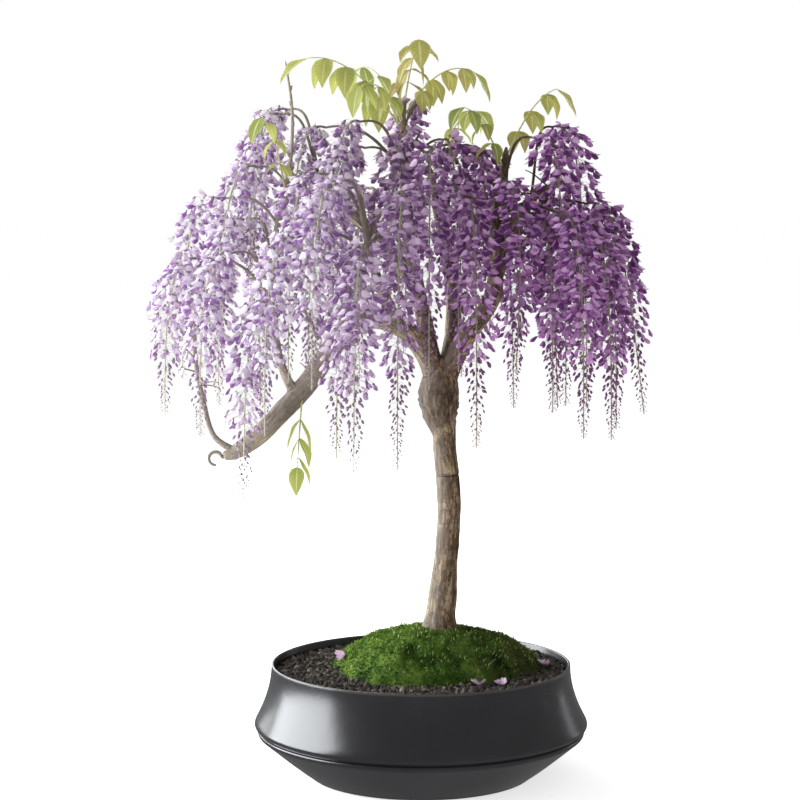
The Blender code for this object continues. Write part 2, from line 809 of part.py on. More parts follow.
def raceme_rows(length):
    """Distances of a raceme's rings along its stem, and whether each row below is open."""
    rows = [(STALK, True)]
    place = STALK
    while place < OPEN_SHARE * length:
        place += OPEN_STEP
        rows.append((place, True))
    rows[-1] = (place, False)
    while place < length - 1.4 * BUD_STEP:
        place += BUD_STEP * (1.15 - 0.45 * place / length)
        rows.append((place, False))
    return rows


def raceme_mesh(name, raceme, draw, blockers):
    """One raceme as a single body: its stem's surface raised into florets and buds."""
    curve = raceme_curve(raceme)
    length = curve_length(curve)
    rows = raceme_rows(length)
    out = outward(raceme.x, raceme.y)
    across = Vector((-out.y, out.x, 0.0))
    bm = bmesh.new()
    start, heading = along(curve, GAP)
    top = bm.verts.new(start)
    collar_centre, heading = along(curve, 0.006)
    collar = ring_of(bm, collar_centre, across, heading.cross(across), STALK_RADIUS, 0.0)
    for j in range(ROW):
        bm.faces.new((top, collar[(j + 1) % ROW], collar[j]))
    previous, turn = collar, 0.0
    previous_open, previous_place = None, 0.006
    for place, is_open in rows:
        centre, heading = along(curve, place)
        down = place / length
        core = OPEN_CORE if down < OPEN_SHARE else BUD_CORE * (1.3 - 0.8 * down)
        if previous_open is not None:
            turn += ROW_TWIST
        ring = ring_of(bm, centre, across, heading.cross(across), core, turn)
        for j in range(ROW):
            cell = (previous[j], previous[(j + 1) % ROW], ring[(j + 1) % ROW], ring[j])
            if previous_open is None:
                bm.faces.new(cell)
                continue
            middle, heading = along(curve, 0.5 * (previous_place + place))
            angle = turn - 0.5 * ROW_TWIST + math.pi * (2 * j + 1) / ROW
            radial = math.cos(angle) * across + math.sin(angle) * heading.cross(across)
            reach = raceme_reach(down) * draw.uniform(0.88, 1.06)
            reach *= 1.0 - UNDER_ARCH * max(0.0, -radial.z)
            if previous_open:
                width = FLORET_HALF_WIDTH * draw.uniform(0.85, 1.0)
                roll = draw.uniform(-0.5, 0.5)
                droop = radial - FLORET_DROOP * UP
                share = clear_share(blockers, middle, droop, reach, width)
                raise_floret(bm, cell, middle, radial, share * reach, share * width, roll)
            else:
                share = clear_share(blockers, middle, radial - BUD_DROOP * UP, reach, BUD_CORE)
                raise_bud(bm, cell, middle, radial, share * reach)
        previous, previous_open, previous_place = ring, is_open, place
    tip = bm.verts.new(curve[-1])
    for j in range(ROW):
        bm.faces.new((previous[j], previous[(j + 1) % ROW], tip))
    bmesh.ops.triangulate(bm, faces=bm.faces)
    return mesh_from(bm, name)


def make_tree(collection, material, limb_rows, racemes, limb_points):
    """The trunk, its limbs and its twigs, grown as one piece."""
    trunk = tube("tree", TRUNK, 4, collection)
    raise_bark(trunk.data)
    branches = new_collection("branches", hidden=True)
    for name, rows in limb_rows.items():
        thick = max(r[3] for r in rows)
        tube(name, rows, 2 if thick > 0.008 else 1, branches)
    tube("hook", hook_rows(), 0, branches)
    for number, raceme in enumerate(racemes, 1):
        base = raceme_base(raceme)
        out = outward(raceme.x, raceme.y)
        rows = twig_rows(twig_root(limb_points, base, out), base, out)
        tube(f"twig_{number:02d}", rows, 0, branches)
    unite(trunk, branches)
    trunk.data.materials.clear()
    trunk.data.materials.append(material)
    return trunk


def leaf_frame(leaf, limb_rows):
    """The limb point that a leaf grows from, and the level direction to its tip."""
    rows = limb_rows[leaf.limb]
    place = leaf.along * (len(rows) - 1)
    k = min(int(place), len(rows) - 2)
    start = rows[k].lerp(rows[k + 1], place - k).xyz
    return start, Vector(leaf.tip)


def leaf_mesh(name, leaf, start, tip, draw):
    """One pinnate leaf: a thin arched rib with leaflets that hang from both its sides."""
    middle = 0.5 * (start + tip) + leaf.rise * UP
    level = Vector((tip.x - start.x, tip.y - start.y, 0.0))
    across = UP.cross(level.normalized())
    curve = [cubic(start, start.lerp(middle, 0.7), middle.lerp(tip, 0.4), tip, i / 40)
             for i in range(41)]
    length = curve_length(curve)
    bare = 0.34 * length
    pitch = (length - bare - 0.004) / (leaf.pairs - 0.5)
    bm = bmesh.new()
    first = bm.verts.new(start)
    place, heading = along(curve, 0.010)
    left = bm.verts.new(place + RIB_HALF_WIDTH * across)
    right = bm.verts.new(place - RIB_HALF_WIDTH * across)
    bm.faces.new((first, left, right))
    for i in range(leaf.pairs):
        joint = bare + pitch * i
        for distance, leafy in ((joint - 0.0022, False), (joint + 0.0022, True)):
            place, heading = along(curve, distance)
            new_left = bm.verts.new(place + RIB_HALF_WIDTH * across)
            new_right = bm.verts.new(place - RIB_HALF_WIDTH * across)
            bm.faces.new((left, new_left, new_right, right))
            if leafy:
                size = leaf.leaflet * draw.uniform(0.88, 1.06) * (1.0 - 0.10 * i / leaf.pairs)
                add_leaflet(bm, left, new_left, across, heading, size, draw)
                add_leaflet(bm, new_right, right, -across, heading, size, draw)
            left, right = new_left, new_right
    place, heading = along(curve, length)
    add_leaflet(bm, left, right, heading, Vector(), leaf.leaflet * 1.1, draw)
    bmesh.ops.triangulate(bm, faces=bm.faces)
    return mesh_from(bm, name)


def add_leaflet(bm, near, far, out, heading, size, draw):
    """A drooping ovate leaflet with a drawn-out tip, grown from one edge of the rib."""
    root = 0.5 * (near.co + far.co)
    aim = (out + 0.45 * heading).normalized()
    side = aim.cross(UP).normalized()
    if side.dot(near.co - far.co) < 0:
        side = -side
    start_fall = draw.uniform(0.35, 0.65)
    end_fall = draw.uniform(1.15, 1.45)
    half = 0.215 * size

    def at(share, width):
        fall = start_fall + 0.5 * (end_fall - start_fall) * share
        ahead = size * share * (math.cos(fall) * aim - math.sin(fall) * UP)
        return bm.verts.new(root + ahead + side * width)

    wide_near, wide_far = at(0.36, half), at(0.36, -half)
    neck_near, neck_far = at(0.74, 0.42 * half), at(0.74, -0.42 * half)
    point = at(1.0, 0.0)
    bm.faces.new((near, wide_near, wide_far, far))
    bm.faces.new((wide_near, neck_near, neck_far, wide_far))
    bm.faces.new((neck_near, point, neck_far))


def make_leaves(collection, finishes, limb_rows, tree):
    """The compound leaves, each one thin body whose stalk ends at the wood."""
    draw = random.Random(SEED + 2)
    wood = surface_of(tree.data)
    made = []
    for number, leaf in enumerate(LEAVES, 1):
        centre, tip = leaf_frame(leaf, limb_rows)
        aim = (tip + 0.8 * leaf.rise * UP - centre).normalized()
        surface = wood.ray_cast(centre, aim)[0]
        start = surface + (GAP + LEAF_THICKNESS / 2) * aim
        name = f"leaf_{number:02d}"
        mesh = leaf_mesh(name, leaf, start, tip, draw)
        obj = object_from(mesh, name, collection, finishes[leaf.green])
        shell = obj.modifiers.new("Thickness", "SOLIDIFY")
        shell.thickness = LEAF_THICKNESS
        shell.offset = 0.0
        made.append(obj)
    return made


def surface_of(mesh):
    """A mesh's surface, for finding what is near it."""
    return BVHTree.FromPolygons([v.co for v in mesh.vertices], [p.vertices for p in mesh.polygons])


def make_racemes(collection, finishes, racemes, tree):
    """The racemes, each one body under its twig's end, clear of the wood and of those before it."""
    draw = random.Random(SEED + 1)
    wood = surface_of(tree.data)
    done = []
    for number, raceme in enumerate(racemes, 1):
        name = f"raceme_{number:02d}"
        tone = "flower_lilac" if raceme.x < -0.06 else "flower_violet"
        near = [
            surface for other, surface in done
            if math.hypot(other.x - raceme.x, other.y - raceme.y) < NEAR_RACEMES
        ]
        mesh = raceme_mesh(name, raceme, draw, [wood] + near)
        done.append((raceme, surface_of(mesh)))
        object_from(mesh, name, collection, finishes[tone])


def make_petals(collection, material, grounds):
    """The fallen petals, each lowered until it lies on what is beneath it."""
    bm = bmesh.new()
    for ground in grounds:
        bm.from_mesh(ground.data)
    below = BVHTree.FromBMesh(bm)
    bm.free()
    for number, (x, y, turn) in enumerate(FALLEN_PETALS, 1):
        disc = bmesh.new()
        bmesh.ops.create_circle(disc, cap_ends=True, cap_tris=True, segments=7, radius=1.0)
        angle = math.radians(turn)
        _, normal, _, _ = below.ray_cast(Vector((x, y, 1.0)), -UP)
        for vert in disc.verts:
            reach = math.hypot(vert.co.x, vert.co.y)
            flat = Vector((vert.co.x * PETAL_LENGTH, vert.co.y * PETAL_WIDTH, 0.0))
            spot = Vector(
                (
                    x + flat.x * math.cos(angle) - flat.y * math.sin(angle),
                    y + flat.x * math.sin(angle) + flat.y * math.cos(angle),
                    0.0,
                )
            )
            slope = -(normal.x * (spot.x - x) + normal.y * (spot.y - y)) / normal.z
            spot.z = slope + 0.0016 * reach**2
            vert.co = spot
        drops = []
        for vert in disc.verts:
            hit = below.ray_cast(Vector((vert.co.x, vert.co.y, 1.0)), -UP)[0]
            drops.append(vert.co.z - hit.z)
        rest = GAP + LEAF_THICKNESS * 0.55 - min(drops)
        bmesh.ops.translate(disc, verts=disc.verts, vec=(0.0, 0.0, rest))
        name = f"fallen_petal_{number}"
        obj = object_from(mesh_from(disc, name), name, collection, material)
        shell = obj.modifiers.new("Thickness", "SOLIDIFY")
        shell.thickness = LEAF_THICKNESS
        shell.offset = 0.0


def main():
    """Build the bonsai."""
    clear_scene()
    bonsai = new_collection("wisteria_bonsai")
    cutters = new_collection("cutters", hidden=True)
    finishes = make_finishes()
    cutter = trunk_hole_cutter(cutters)
    make_pot(bonsai, finishes["pot_charcoal"])
    soil = make_soil(bonsai, finishes["soil"], cutter)
    moss = make_moss(bonsai, finishes["moss"], cutter)
    limb_rows = {name: smooth_path(points, LIMB_SAMPLES) for name, points in LIMBS.items()}
    limb_points = [row for name, rows in limb_rows.items() for row in rows[2:]]
    draw = random.Random(SEED)
    racemes = [Raceme(**vars(r)) for r in FRONT_RACEMES] + back_racemes(draw)
    spread_racemes(racemes, limb_points)
    tree = make_tree(bonsai, finishes["bark"], limb_rows, racemes, limb_points)
    make_racemes(bonsai, finishes, racemes, tree)
    make_leaves(bonsai, finishes, limb_rows, tree)
    make_petals(bonsai, finishes["petal"], (soil, moss))


main()
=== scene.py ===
"""The wisteria bonsai's looks: glazed pot, soil, moss, bark, hanging flowers and leaves.

Metres, +Z up, front towards -Y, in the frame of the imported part.
"""

import json
import logging
import math
import random
from collections.abc import Sequence
from dataclasses import dataclass, field
from enum import Enum

import bpy
import numpy as np
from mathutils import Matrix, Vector, noise
from mathutils.bvhtree import BVHTree


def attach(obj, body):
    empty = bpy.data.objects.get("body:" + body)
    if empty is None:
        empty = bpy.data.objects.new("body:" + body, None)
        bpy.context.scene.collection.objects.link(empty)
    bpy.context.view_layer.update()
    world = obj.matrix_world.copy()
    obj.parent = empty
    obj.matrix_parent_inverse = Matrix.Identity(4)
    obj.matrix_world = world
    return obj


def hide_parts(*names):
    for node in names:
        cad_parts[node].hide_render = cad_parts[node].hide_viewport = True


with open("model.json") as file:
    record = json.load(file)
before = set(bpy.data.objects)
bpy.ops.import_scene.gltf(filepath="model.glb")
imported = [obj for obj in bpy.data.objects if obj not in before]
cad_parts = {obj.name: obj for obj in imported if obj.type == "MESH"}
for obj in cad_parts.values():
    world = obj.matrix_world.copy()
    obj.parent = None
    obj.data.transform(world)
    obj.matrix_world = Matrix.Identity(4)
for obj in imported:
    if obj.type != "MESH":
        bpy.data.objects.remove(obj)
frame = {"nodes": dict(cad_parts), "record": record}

LOG = logging.getLogger("wisteria_bonsai")
UP = np.array((0.0, 0.0, 1.0))
GOLDEN_ANGLE = math.radians(137.5)
ROOT = "root"
Colour = tuple[float, float, float, float]
SLOTS = {row["node"]: row["material_slot"] for row in frame["record"]["subparts"]}

# Points along each stem, as (x, y, z, radius)
TRUNK = (
    (0.0250, 0.000, 0.130, 0.0235),
    (0.0250, 0.000, 0.190, 0.0225),
    (0.0265, 0.000, 0.214, 0.0200),
    (0.0293, 0.000, 0.243, 0.0186),
    (0.0333, -0.002, 0.290, 0.0162),
    (0.0365, -0.003, 0.338, 0.0155),
    (0.0370, -0.002, 0.374, 0.0157),
    (0.0350, 0.000, 0.404, 0.0152),
    (0.0320, 0.001, 0.434, 0.0150),
    (0.0300, 0.001, 0.460, 0.0158),
    (0.0255, 0.000, 0.482, 0.0220),
    (0.0235, 0.000, 0.506, 0.0256),
    (0.0250, 0.000, 0.530, 0.0228),
    (0.0270, 0.000, 0.546, 0.0150),
)
LIMBS = {
    "left": (
        (0.0220, 0.000, 0.520, 0.0165),
        (0.0090, -0.004, 0.560, 0.0150),
        (-0.0200, -0.010, 0.596, 0.0142),
        (-0.0613, -0.018, 0.612, 0.0138),
        (-0.0960, -0.024, 0.598, 0.0136),
        (-0.1267, -0.030, 0.561, 0.0136),
        (-0.1480, -0.036, 0.529, 0.0134),
        (-0.1760, -0.042, 0.498, 0.0132),
        (-0.2100, -0.048, 0.463, 0.0126),
        (-0.2413, -0.052, 0.440, 0.0098),
        (-0.2580, -0.054, 0.434, 0.0060),
    ),
    "right": (
        (0.0280, 0.000, 0.520, 0.0165),
        (0.0410, -0.002, 0.552, 0.0140),
        (0.0600, -0.006, 0.588, 0.0128),
        (0.0920, -0.012, 0.637, 0.0116),
        (0.0985, -0.018, 0.690, 0.0104),
        (0.0990, -0.020, 0.740, 0.0090),
        (0.1060, -0.020, 0.786, 0.0068),
        (0.1100, -0.016, 0.826, 0.0044),
    ),
    "centre": (
        (0.0210, 0.004, 0.520, 0.0140),
        (0.0120, 0.020, 0.570, 0.0118),
        (-0.0010, 0.032, 0.630, 0.0104),
        (-0.0120, 0.036, 0.690, 0.0090),
        (-0.0180, 0.032, 0.755, 0.0074),
        (-0.0230, 0.022, 0.815, 0.0056),
        (-0.0240, 0.012, 0.862, 0.0038),
        (-0.0220, 0.004, 0.894, 0.0028),
    ),
    "back": (
        (0.0290, 0.004, 0.525, 0.0130),
        (0.0400, 0.040, 0.570, 0.0110),
        (0.0440, 0.085, 0.625, 0.0096),
        (0.0360, 0.120, 0.690, 0.0080),
        (0.0240, 0.135, 0.750, 0.0062),
        (0.0160, 0.140, 0.800, 0.0042),
    ),
    "front": (
        (-0.0280, -0.012, 0.600, 0.0094),
        (-0.0540, -0.045, 0.655, 0.0072),
        (-0.0690, -0.078, 0.712, 0.0052),
        (-0.0780, -0.098, 0.768, 0.0034),
    ),
    "left_top": (
        (-0.0040, 0.032, 0.648, 0.0088),
        (-0.0560, 0.045, 0.715, 0.0074),
        (-0.1100, 0.045, 0.765, 0.0060),
        (-0.1560, 0.036, 0.800, 0.0042),
    ),
    "left_riser": (
        (-0.1650, -0.040, 0.512, 0.0072),
        (-0.1860, -0.036, 0.560, 0.0060),
        (-0.1930, -0.030, 0.612, 0.0054),
        (-0.1960, -0.024, 0.665, 0.0050),
        (-0.1900, -0.018, 0.725, 0.0044),
        (-0.1750, -0.014, 0.785, 0.0036),
    ),
    "far_left": (
        (-0.2440, -0.052, 0.440, 0.0050),
        (-0.2720, -0.050, 0.462, 0.0036),
        (-0.2860, -0.040, 0.508, 0.0033),
        (-0.2960, -0.028, 0.556, 0.0030),
        (-0.2980, -0.018, 0.604, 0.0026),
    ),
    "right_out": (
        (0.0980, -0.018, 0.700, 0.0072),
        (0.1260, -0.026, 0.748, 0.0060),
        (0.1560, -0.034, 0.778, 0.0050),
        (0.1860, -0.038, 0.790, 0.0038),
    ),
    "right_back": (
        (0.0950, -0.014, 0.655, 0.0080),
        (0.1180, 0.034, 0.705, 0.0064),
        (0.1420, 0.076, 0.748, 0.0050),
        (0.1540, 0.104, 0.776, 0.0038),
    ),
    "left_back": (
        (-0.0080, 0.035, 0.665, 0.0076),
        (-0.0640, 0.092, 0.722, 0.0060),
        (-0.1240, 0.124, 0.756, 0.0048),
        (-0.1720, 0.128, 0.768, 0.0036),
    ),
    "shoot": (
        (-0.1790, -0.015, 0.772, 0.0030),
        (-0.1700, -0.014, 0.830, 0.0024),
        (-0.1690, -0.012, 0.885, 0.0020),
        (-0.1760, -0.010, 0.938, 0.0014),
    ),
}
LIMB_SAMPLES = 7

# How many points are compared with all others at once
BLOCK = 3000

# How far a raceme's hanging line stands out from its twig's end, and those that differ
REACH = 0.045
OWN_REACHES = {
    0: 0.050, 4: 0.055, 6: 0.030, 9: 0.040, 14: 0.040, 16: 0.040, 18: 0.060, 20: 0.050,
    24: 0.055, 25: 0.050, 27: 0.055,
}

# Heights of the graft ring and of the thick knuckle on the trunk
RING_Z = 0.4035
KNUCKLE_Z = 0.498

# The crown's middle, and from right to left, where painted light on flowers and wood begins and where
# it is full
CROWN_X = 0.02
SHADE_X = 0.12
SUN_X = -0.19

WHITE = (1.0, 1.0, 1.0, 1.0)
FALLEN_PETALS = 4
RACEME_SEED = 100
LEAF_SEED = 700
PETAL_SEED = 60


def srgb(red: float, green: float, blue: float) -> Colour:
    """A linear colour from display values of 0 to 255.

    Args:
        red: red as shown on a screen.
        green: green as shown on a screen.
        blue: blue as shown on a screen.

    Returns:
        The linear colour with full alpha.
    """
    def linear(value: float) -> float:
        """One channel made linear."""
        share = value / 255.0
        return share / 12.92 if share <= 0.04045 else ((share + 0.055) / 1.055) ** 2.4

    return (linear(red), linear(green), linear(blue), 1.0)


# Shader graphs


class Signal:
    """A node's output socket, with arithmetic that adds Math nodes."""

    def __init__(self, graph: "Graph", socket: bpy.types.NodeSocket) -> None:
        """Wrap a socket of a graph."""
        self.graph = graph
        self.socket = socket

    def _math(self, operation: str, first: object, second: object) -> "Signal":
        """A Math node of two values."""
        return self.graph.node("ShaderNodeMath", {"operation": operation}, {0: first, 1: second})

    def __add__(self, other: object) -> "Signal":
        """This plus another value."""
        return self._math("ADD", self, other)

    def __radd__(self, other: object) -> "Signal":
        """Another value plus this."""
        return self._math("ADD", other, self)

    def __sub__(self, other: object) -> "Signal":
        """This minus another value."""
        return self._math("SUBTRACT", self, other)

    def __rsub__(self, other: object) -> "Signal":
        """Another value minus this."""
        return self._math("SUBTRACT", other, self)

    def __mul__(self, other: object) -> "Signal":
        """This times another value."""
        return self._math("MULTIPLY", self, other)

    def __rmul__(self, other: object) -> "Signal":
        """Another value times this."""
        return self._math("MULTIPLY", other, self)

    def sine(self) -> "Signal":
        """The sine of this."""
        return self.graph.node("ShaderNodeMath", {"operation": "SINE"}, {0: self})

    def between(self, low: float, high: float) -> "Signal":
        """0 below one value, 1 above another, smooth between them.

        Args:
            low: the value that gives 0.
            high: the value that gives 1.

        Returns:
            The smooth mask.
        """
        values = {"Value": self, "From Min": low, "From Max": high}
        return self.graph.node("ShaderNodeMapRange", {"interpolation_type": "SMOOTHSTEP"}, values)


class Graph:
    """The node graph of one material or of the world."""

    def __init__(self, owner: bpy.types.Material | bpy.types.World) -> None:
        """Open the graph of a new material or world.

        Args:
            owner: what the graph belongs to.
        """
        owner.use_nodes = True
        self.owner = owner
        self.tree = owner.node_tree

    @classmethod
    def of_material(cls, name: str) -> "Graph":
        """The graph of a new material, with a Principled shader."""
        return cls(bpy.data.materials.new(name))

    @property
    def shader(self) -> bpy.types.Node:
        """The material's Principled shader."""
        return self.tree.nodes["Principled BSDF"]

    def node(
        self, kind: str, settings: dict[str, object], values: dict[int | str, object],
        output: int | str = 0,
    ) -> Signal:
        """Add a node.

        Args:
            kind: the node's type.
            settings: its settings, with a ramp's stops under "stops".
            values: numbers, colours or signals by input socket.
            output: the output socket to return.

        Returns:
            The wanted output.
        """
        made = self.tree.nodes.new(kind)
        for key, setting in settings.items():
            if key == "stops":
                self._set_stops(made.color_ramp, setting)
            else:
                setattr(made, key, setting)
        for key, value in values.items():
            self.link(value, made.inputs[key])
        return Signal(self, made.outputs[output])

    def _set_stops(self, ramp: bpy.types.ColorRamp, stops: Sequence[tuple[float, Colour]]) -> None:
        """Give a ramp its stops.

        Args:
            ramp: the ramp.
            stops: a place from 0 to 1 and a colour for each stop.
        """
        while len(ramp.elements) < len(stops):
            ramp.elements.new(0.5)
        for element, (place, colour) in zip(ramp.elements, stops):
            element.position = place
            element.color = colour

    def link(self, value: object, socket: bpy.types.NodeSocket) -> None:
        """Fill an input socket.

        Args:
            value: a number, a colour or a signal.
            socket: the socket.
        """
        if isinstance(value, Signal):
            self.tree.links.new(value.socket, socket)
        else:
            socket.default_value = value

    def ramp(self, factor: Signal, *stops: tuple[float, Colour]) -> Signal:
        """A colour read from stops."""
        return self.node("ShaderNodeValToRGB", {"stops": stops}, {0: factor})

    def mix(self, factor: object, first: object, second: object) -> Signal:
        """A blend of two colours."""
        values = {0: factor, 6: first, 7: second}
        return self.node("ShaderNodeMix", {"data_type": "RGBA"}, values, 2)

    def scaled(self, vector: Signal, factors: tuple[float, float, float]) -> Signal:
        """A vector with each of its parts multiplied."""
        return self.node("ShaderNodeVectorMath", {"operation": "MULTIPLY"}, {0: vector, 1: factors})

    def place(self) -> Signal:
        """The point on the surface, in the object's own metres."""
        return self.node("ShaderNodeTexCoord", {}, {}, "Object")

    def parts(self, vector: Signal) -> tuple[Signal, Signal, Signal]:
        """The three parts of a vector or of a colour."""
        split = self.node("ShaderNodeSeparateXYZ", {}, {0: vector}).socket.node
        return tuple(Signal(self, split.outputs[i]) for i in range(3))

    def attribute(self, name: str, output: str = "Color") -> Signal:
        """A value stored on the mesh."""
        return self.node("ShaderNodeAttribute", {"attribute_name": name}, {}, output)

    def noise(
        self, vector: Signal, scale: float, detail: float = 3.0, roughness: float = 0.55
    ) -> Signal:
        """Soft noise of about 0 to 1.

        Args:
            vector: where it is read.
            scale: how many blotches there are in a metre.
            detail: how many finer layers it has.
            roughness: how strong the finer layers are.

        Returns:
            The noise value.
        """
        values = {"Vector": vector, "Scale": scale, "Detail": detail, "Roughness": roughness}
        return self.node("ShaderNodeTexNoise", {}, values, "Fac")

    def cells(self, vector: Signal, scale: float) -> Signal:
        """The distance in a pattern of cells."""
        values = {"Vector": vector, "Scale": scale}
        return self.node("ShaderNodeTexVoronoi", {"feature": "F1"}, values, "Distance")

    def finish(
        self, colour: object, roughness: object, height: Signal | None = None,
        relief: float = 0.001, constants: dict[str, object] | None = None,
    ) -> bpy.types.Material:
        """Join what varies to the shader.

        Args:
            colour: the base colour.
            roughness: the roughness.
            height: the relief, of about 0 to 1.
            relief: the relief's depth in metres.
            constants: plain values of the shader's other sockets.

        Returns:
            The finished material.
        """
        self.link(colour, self.shader.inputs["Base Color"])
        self.link(roughness, self.shader.inputs["Roughness"])
        if height is not None:
            bump = self.node("ShaderNodeBump", {}, {"Distance": relief, "Height": height})
            self.link(bump, self.shader.inputs["Normal"])
        for name, value in (constants or {}).items():
            self.shader.inputs[name].default_value = value
        return self.owner

    def let_light_through(self, share: object, colour: Colour) -> bpy.types.Material:
        """Make the surface thin, so that some light passes through it.

        Args:
            share: how much passes.
            colour: the colour of what passes.

        Returns:
            The material.
        """
        thin = self.node("ShaderNodeBsdfTranslucent", {}, {"Color": colour})
        solid = Signal(self, self.shader.outputs[0])
        both = self.node("ShaderNodeMixShader", {}, {0: share, 1: solid, 2: thin})
        self.link(both, self.tree.nodes["Material Output"].inputs["Surface"])
        return self.owner


# Finishes


@dataclass(frozen=True)
class PotFinish:
    """Satin charcoal glaze with a worn brown lip."""

    body: Colour = srgb(27, 27, 30)
    cloud: Colour = srgb(36, 36, 39)
    lip: Colour = srgb(74, 70, 66)
    dust: Colour = srgb(84, 78, 70)
    lip_z: float = 0.1466
    lip_fade: float = 0.0022
    cloud_scale: float = 9.0
    dust_scale: float = 22.0
    ripple_scale: float = 34.0
    speck_scale: float = 260.0
    relief: float = 0.0003
    gloss: float = 0.9

    def build(self) -> bpy.types.Material:
        """Make the glaze's material.

        Returns:
            The material.
        """
        graph = Graph.of_material("pot_charcoal")
        place = graph.place()
        _, _, height = graph.parts(place)
        cloud = graph.noise(place, self.cloud_scale, 4.0)
        speck = graph.noise(place, self.speck_scale, 2.0)
        glaze = graph.mix(cloud.between(0.35, 0.75), self.body, self.cloud)
        worn = (height + 0.0016 * (cloud - 0.5)).between(self.lip_z, self.lip_z + self.lip_fade)
        glaze = graph.mix(worn * (0.45 + 0.4 * speck), glaze, self.lip)
        dusty = graph.noise(place, self.dust_scale, 5.0, 0.7).between(0.60, 0.85)
        glaze = graph.mix(0.14 * dusty, glaze, self.dust)
        roughness = 0.15 + 0.12 * cloud + 0.10 * dusty + 0.05 * speck
        height = 0.75 * graph.noise(place, self.ripple_scale, 2.0) + 0.25 * speck
        return graph.finish(glaze, roughness, height, self.relief, {"Specular IOR Level": self.gloss})


@dataclass(frozen=True)
class SoilFinish:
    """Damp dark granules with some paler ones."""

    dark: Colour = srgb(36, 33, 31)
    brown: Colour = srgb(92, 84, 74)
    grit: Colour = srgb(150, 142, 130)
    grain_scale: float = 420.0
    crumb_scale: float = 330.0
    relief: float = 0.0008

    def build(self, name: str, tinted: bool) -> bpy.types.Material:
        """The soil's material.

        Args:
            name: the material's name.
            tinted: whether the mesh holds a tint for each granule.

        Returns:
            The material.
        """
        graph = Graph.of_material(name)
        place = graph.place()
        grain = graph.noise(place, self.grain_scale, 3.0, 0.65)
        if tinted:
            tone, _, pale = graph.parts(graph.attribute("tint"))
            soil = graph.ramp(0.6 * tone + 0.5 * grain, (0.15, self.dark), (0.95, self.brown))
            soil = graph.mix(pale, soil, self.grit)
        else:
            crumbs = graph.cells(place, self.crumb_scale)
            soil = graph.ramp(0.9 * crumbs + 0.3 * grain, (0.1, self.dark), (1.0, self.brown))
            grain = 0.7 * crumbs + 0.3 * grain
        return graph.finish(soil, 0.82 + 0.14 * grain, grain, self.relief)


@dataclass(frozen=True)
class MossFinish:
    """Short living moss, with painted shade in its hollows, painted light on its cushions and painted
    shade towards the right.
    """

    deep: Colour = srgb(30, 44, 18)
    green: Colour = srgb(66, 100, 32)
    bright: Colour = srgb(136, 166, 72)
    sprout: Colour = srgb(202, 210, 140)
    dry: Colour = srgb(92, 84, 52)
    glow: Colour = srgb(120, 160, 60)
    patch_scale: float = 30.0
    dry_scale: float = 44.0
    tuft_scale: float = 300.0
    relief: float = 0.0014
    gloss: float = 0.25
    thinness: float = 0.12

    def build(self) -> bpy.types.Material:
        """Make the moss's material, which dries towards the right and is darker there as painted
        shade.

        Returns:
            The material.
        """
        graph = Graph.of_material("moss")
        place = graph.place()
        tone, _, young = graph.parts(graph.attribute("tint"))
        side, _, _ = graph.parts(place)
        patch = graph.noise(place, self.patch_scale, 4.0, 0.65)
        tuft = graph.noise(place, self.tuft_scale, 3.0, 0.7)
        # Painted shade: the tone is darker in the hollows between cushions and lighter on their tops,
        # and the side term darkens the right
        level = 0.85 * tone + 1.30 * (patch - 0.5) + 0.45 * (tuft - 0.5) - 1.3 * side - 0.02
        moss = graph.ramp(level, (0.02, self.deep), (0.34, self.green), (0.80, self.bright))
        brown = graph.noise(place, self.dry_scale, 4.0, 0.7) + 2.2 * side
        moss = graph.mix(0.75 * brown.between(0.62, 0.92), moss, self.dry)
        moss = graph.mix(young, moss, self.sprout)
        graph.finish(moss, 0.90, tuft, self.relief, {"Specular IOR Level": self.gloss})
        return graph.let_light_through(self.thinness, self.glow)


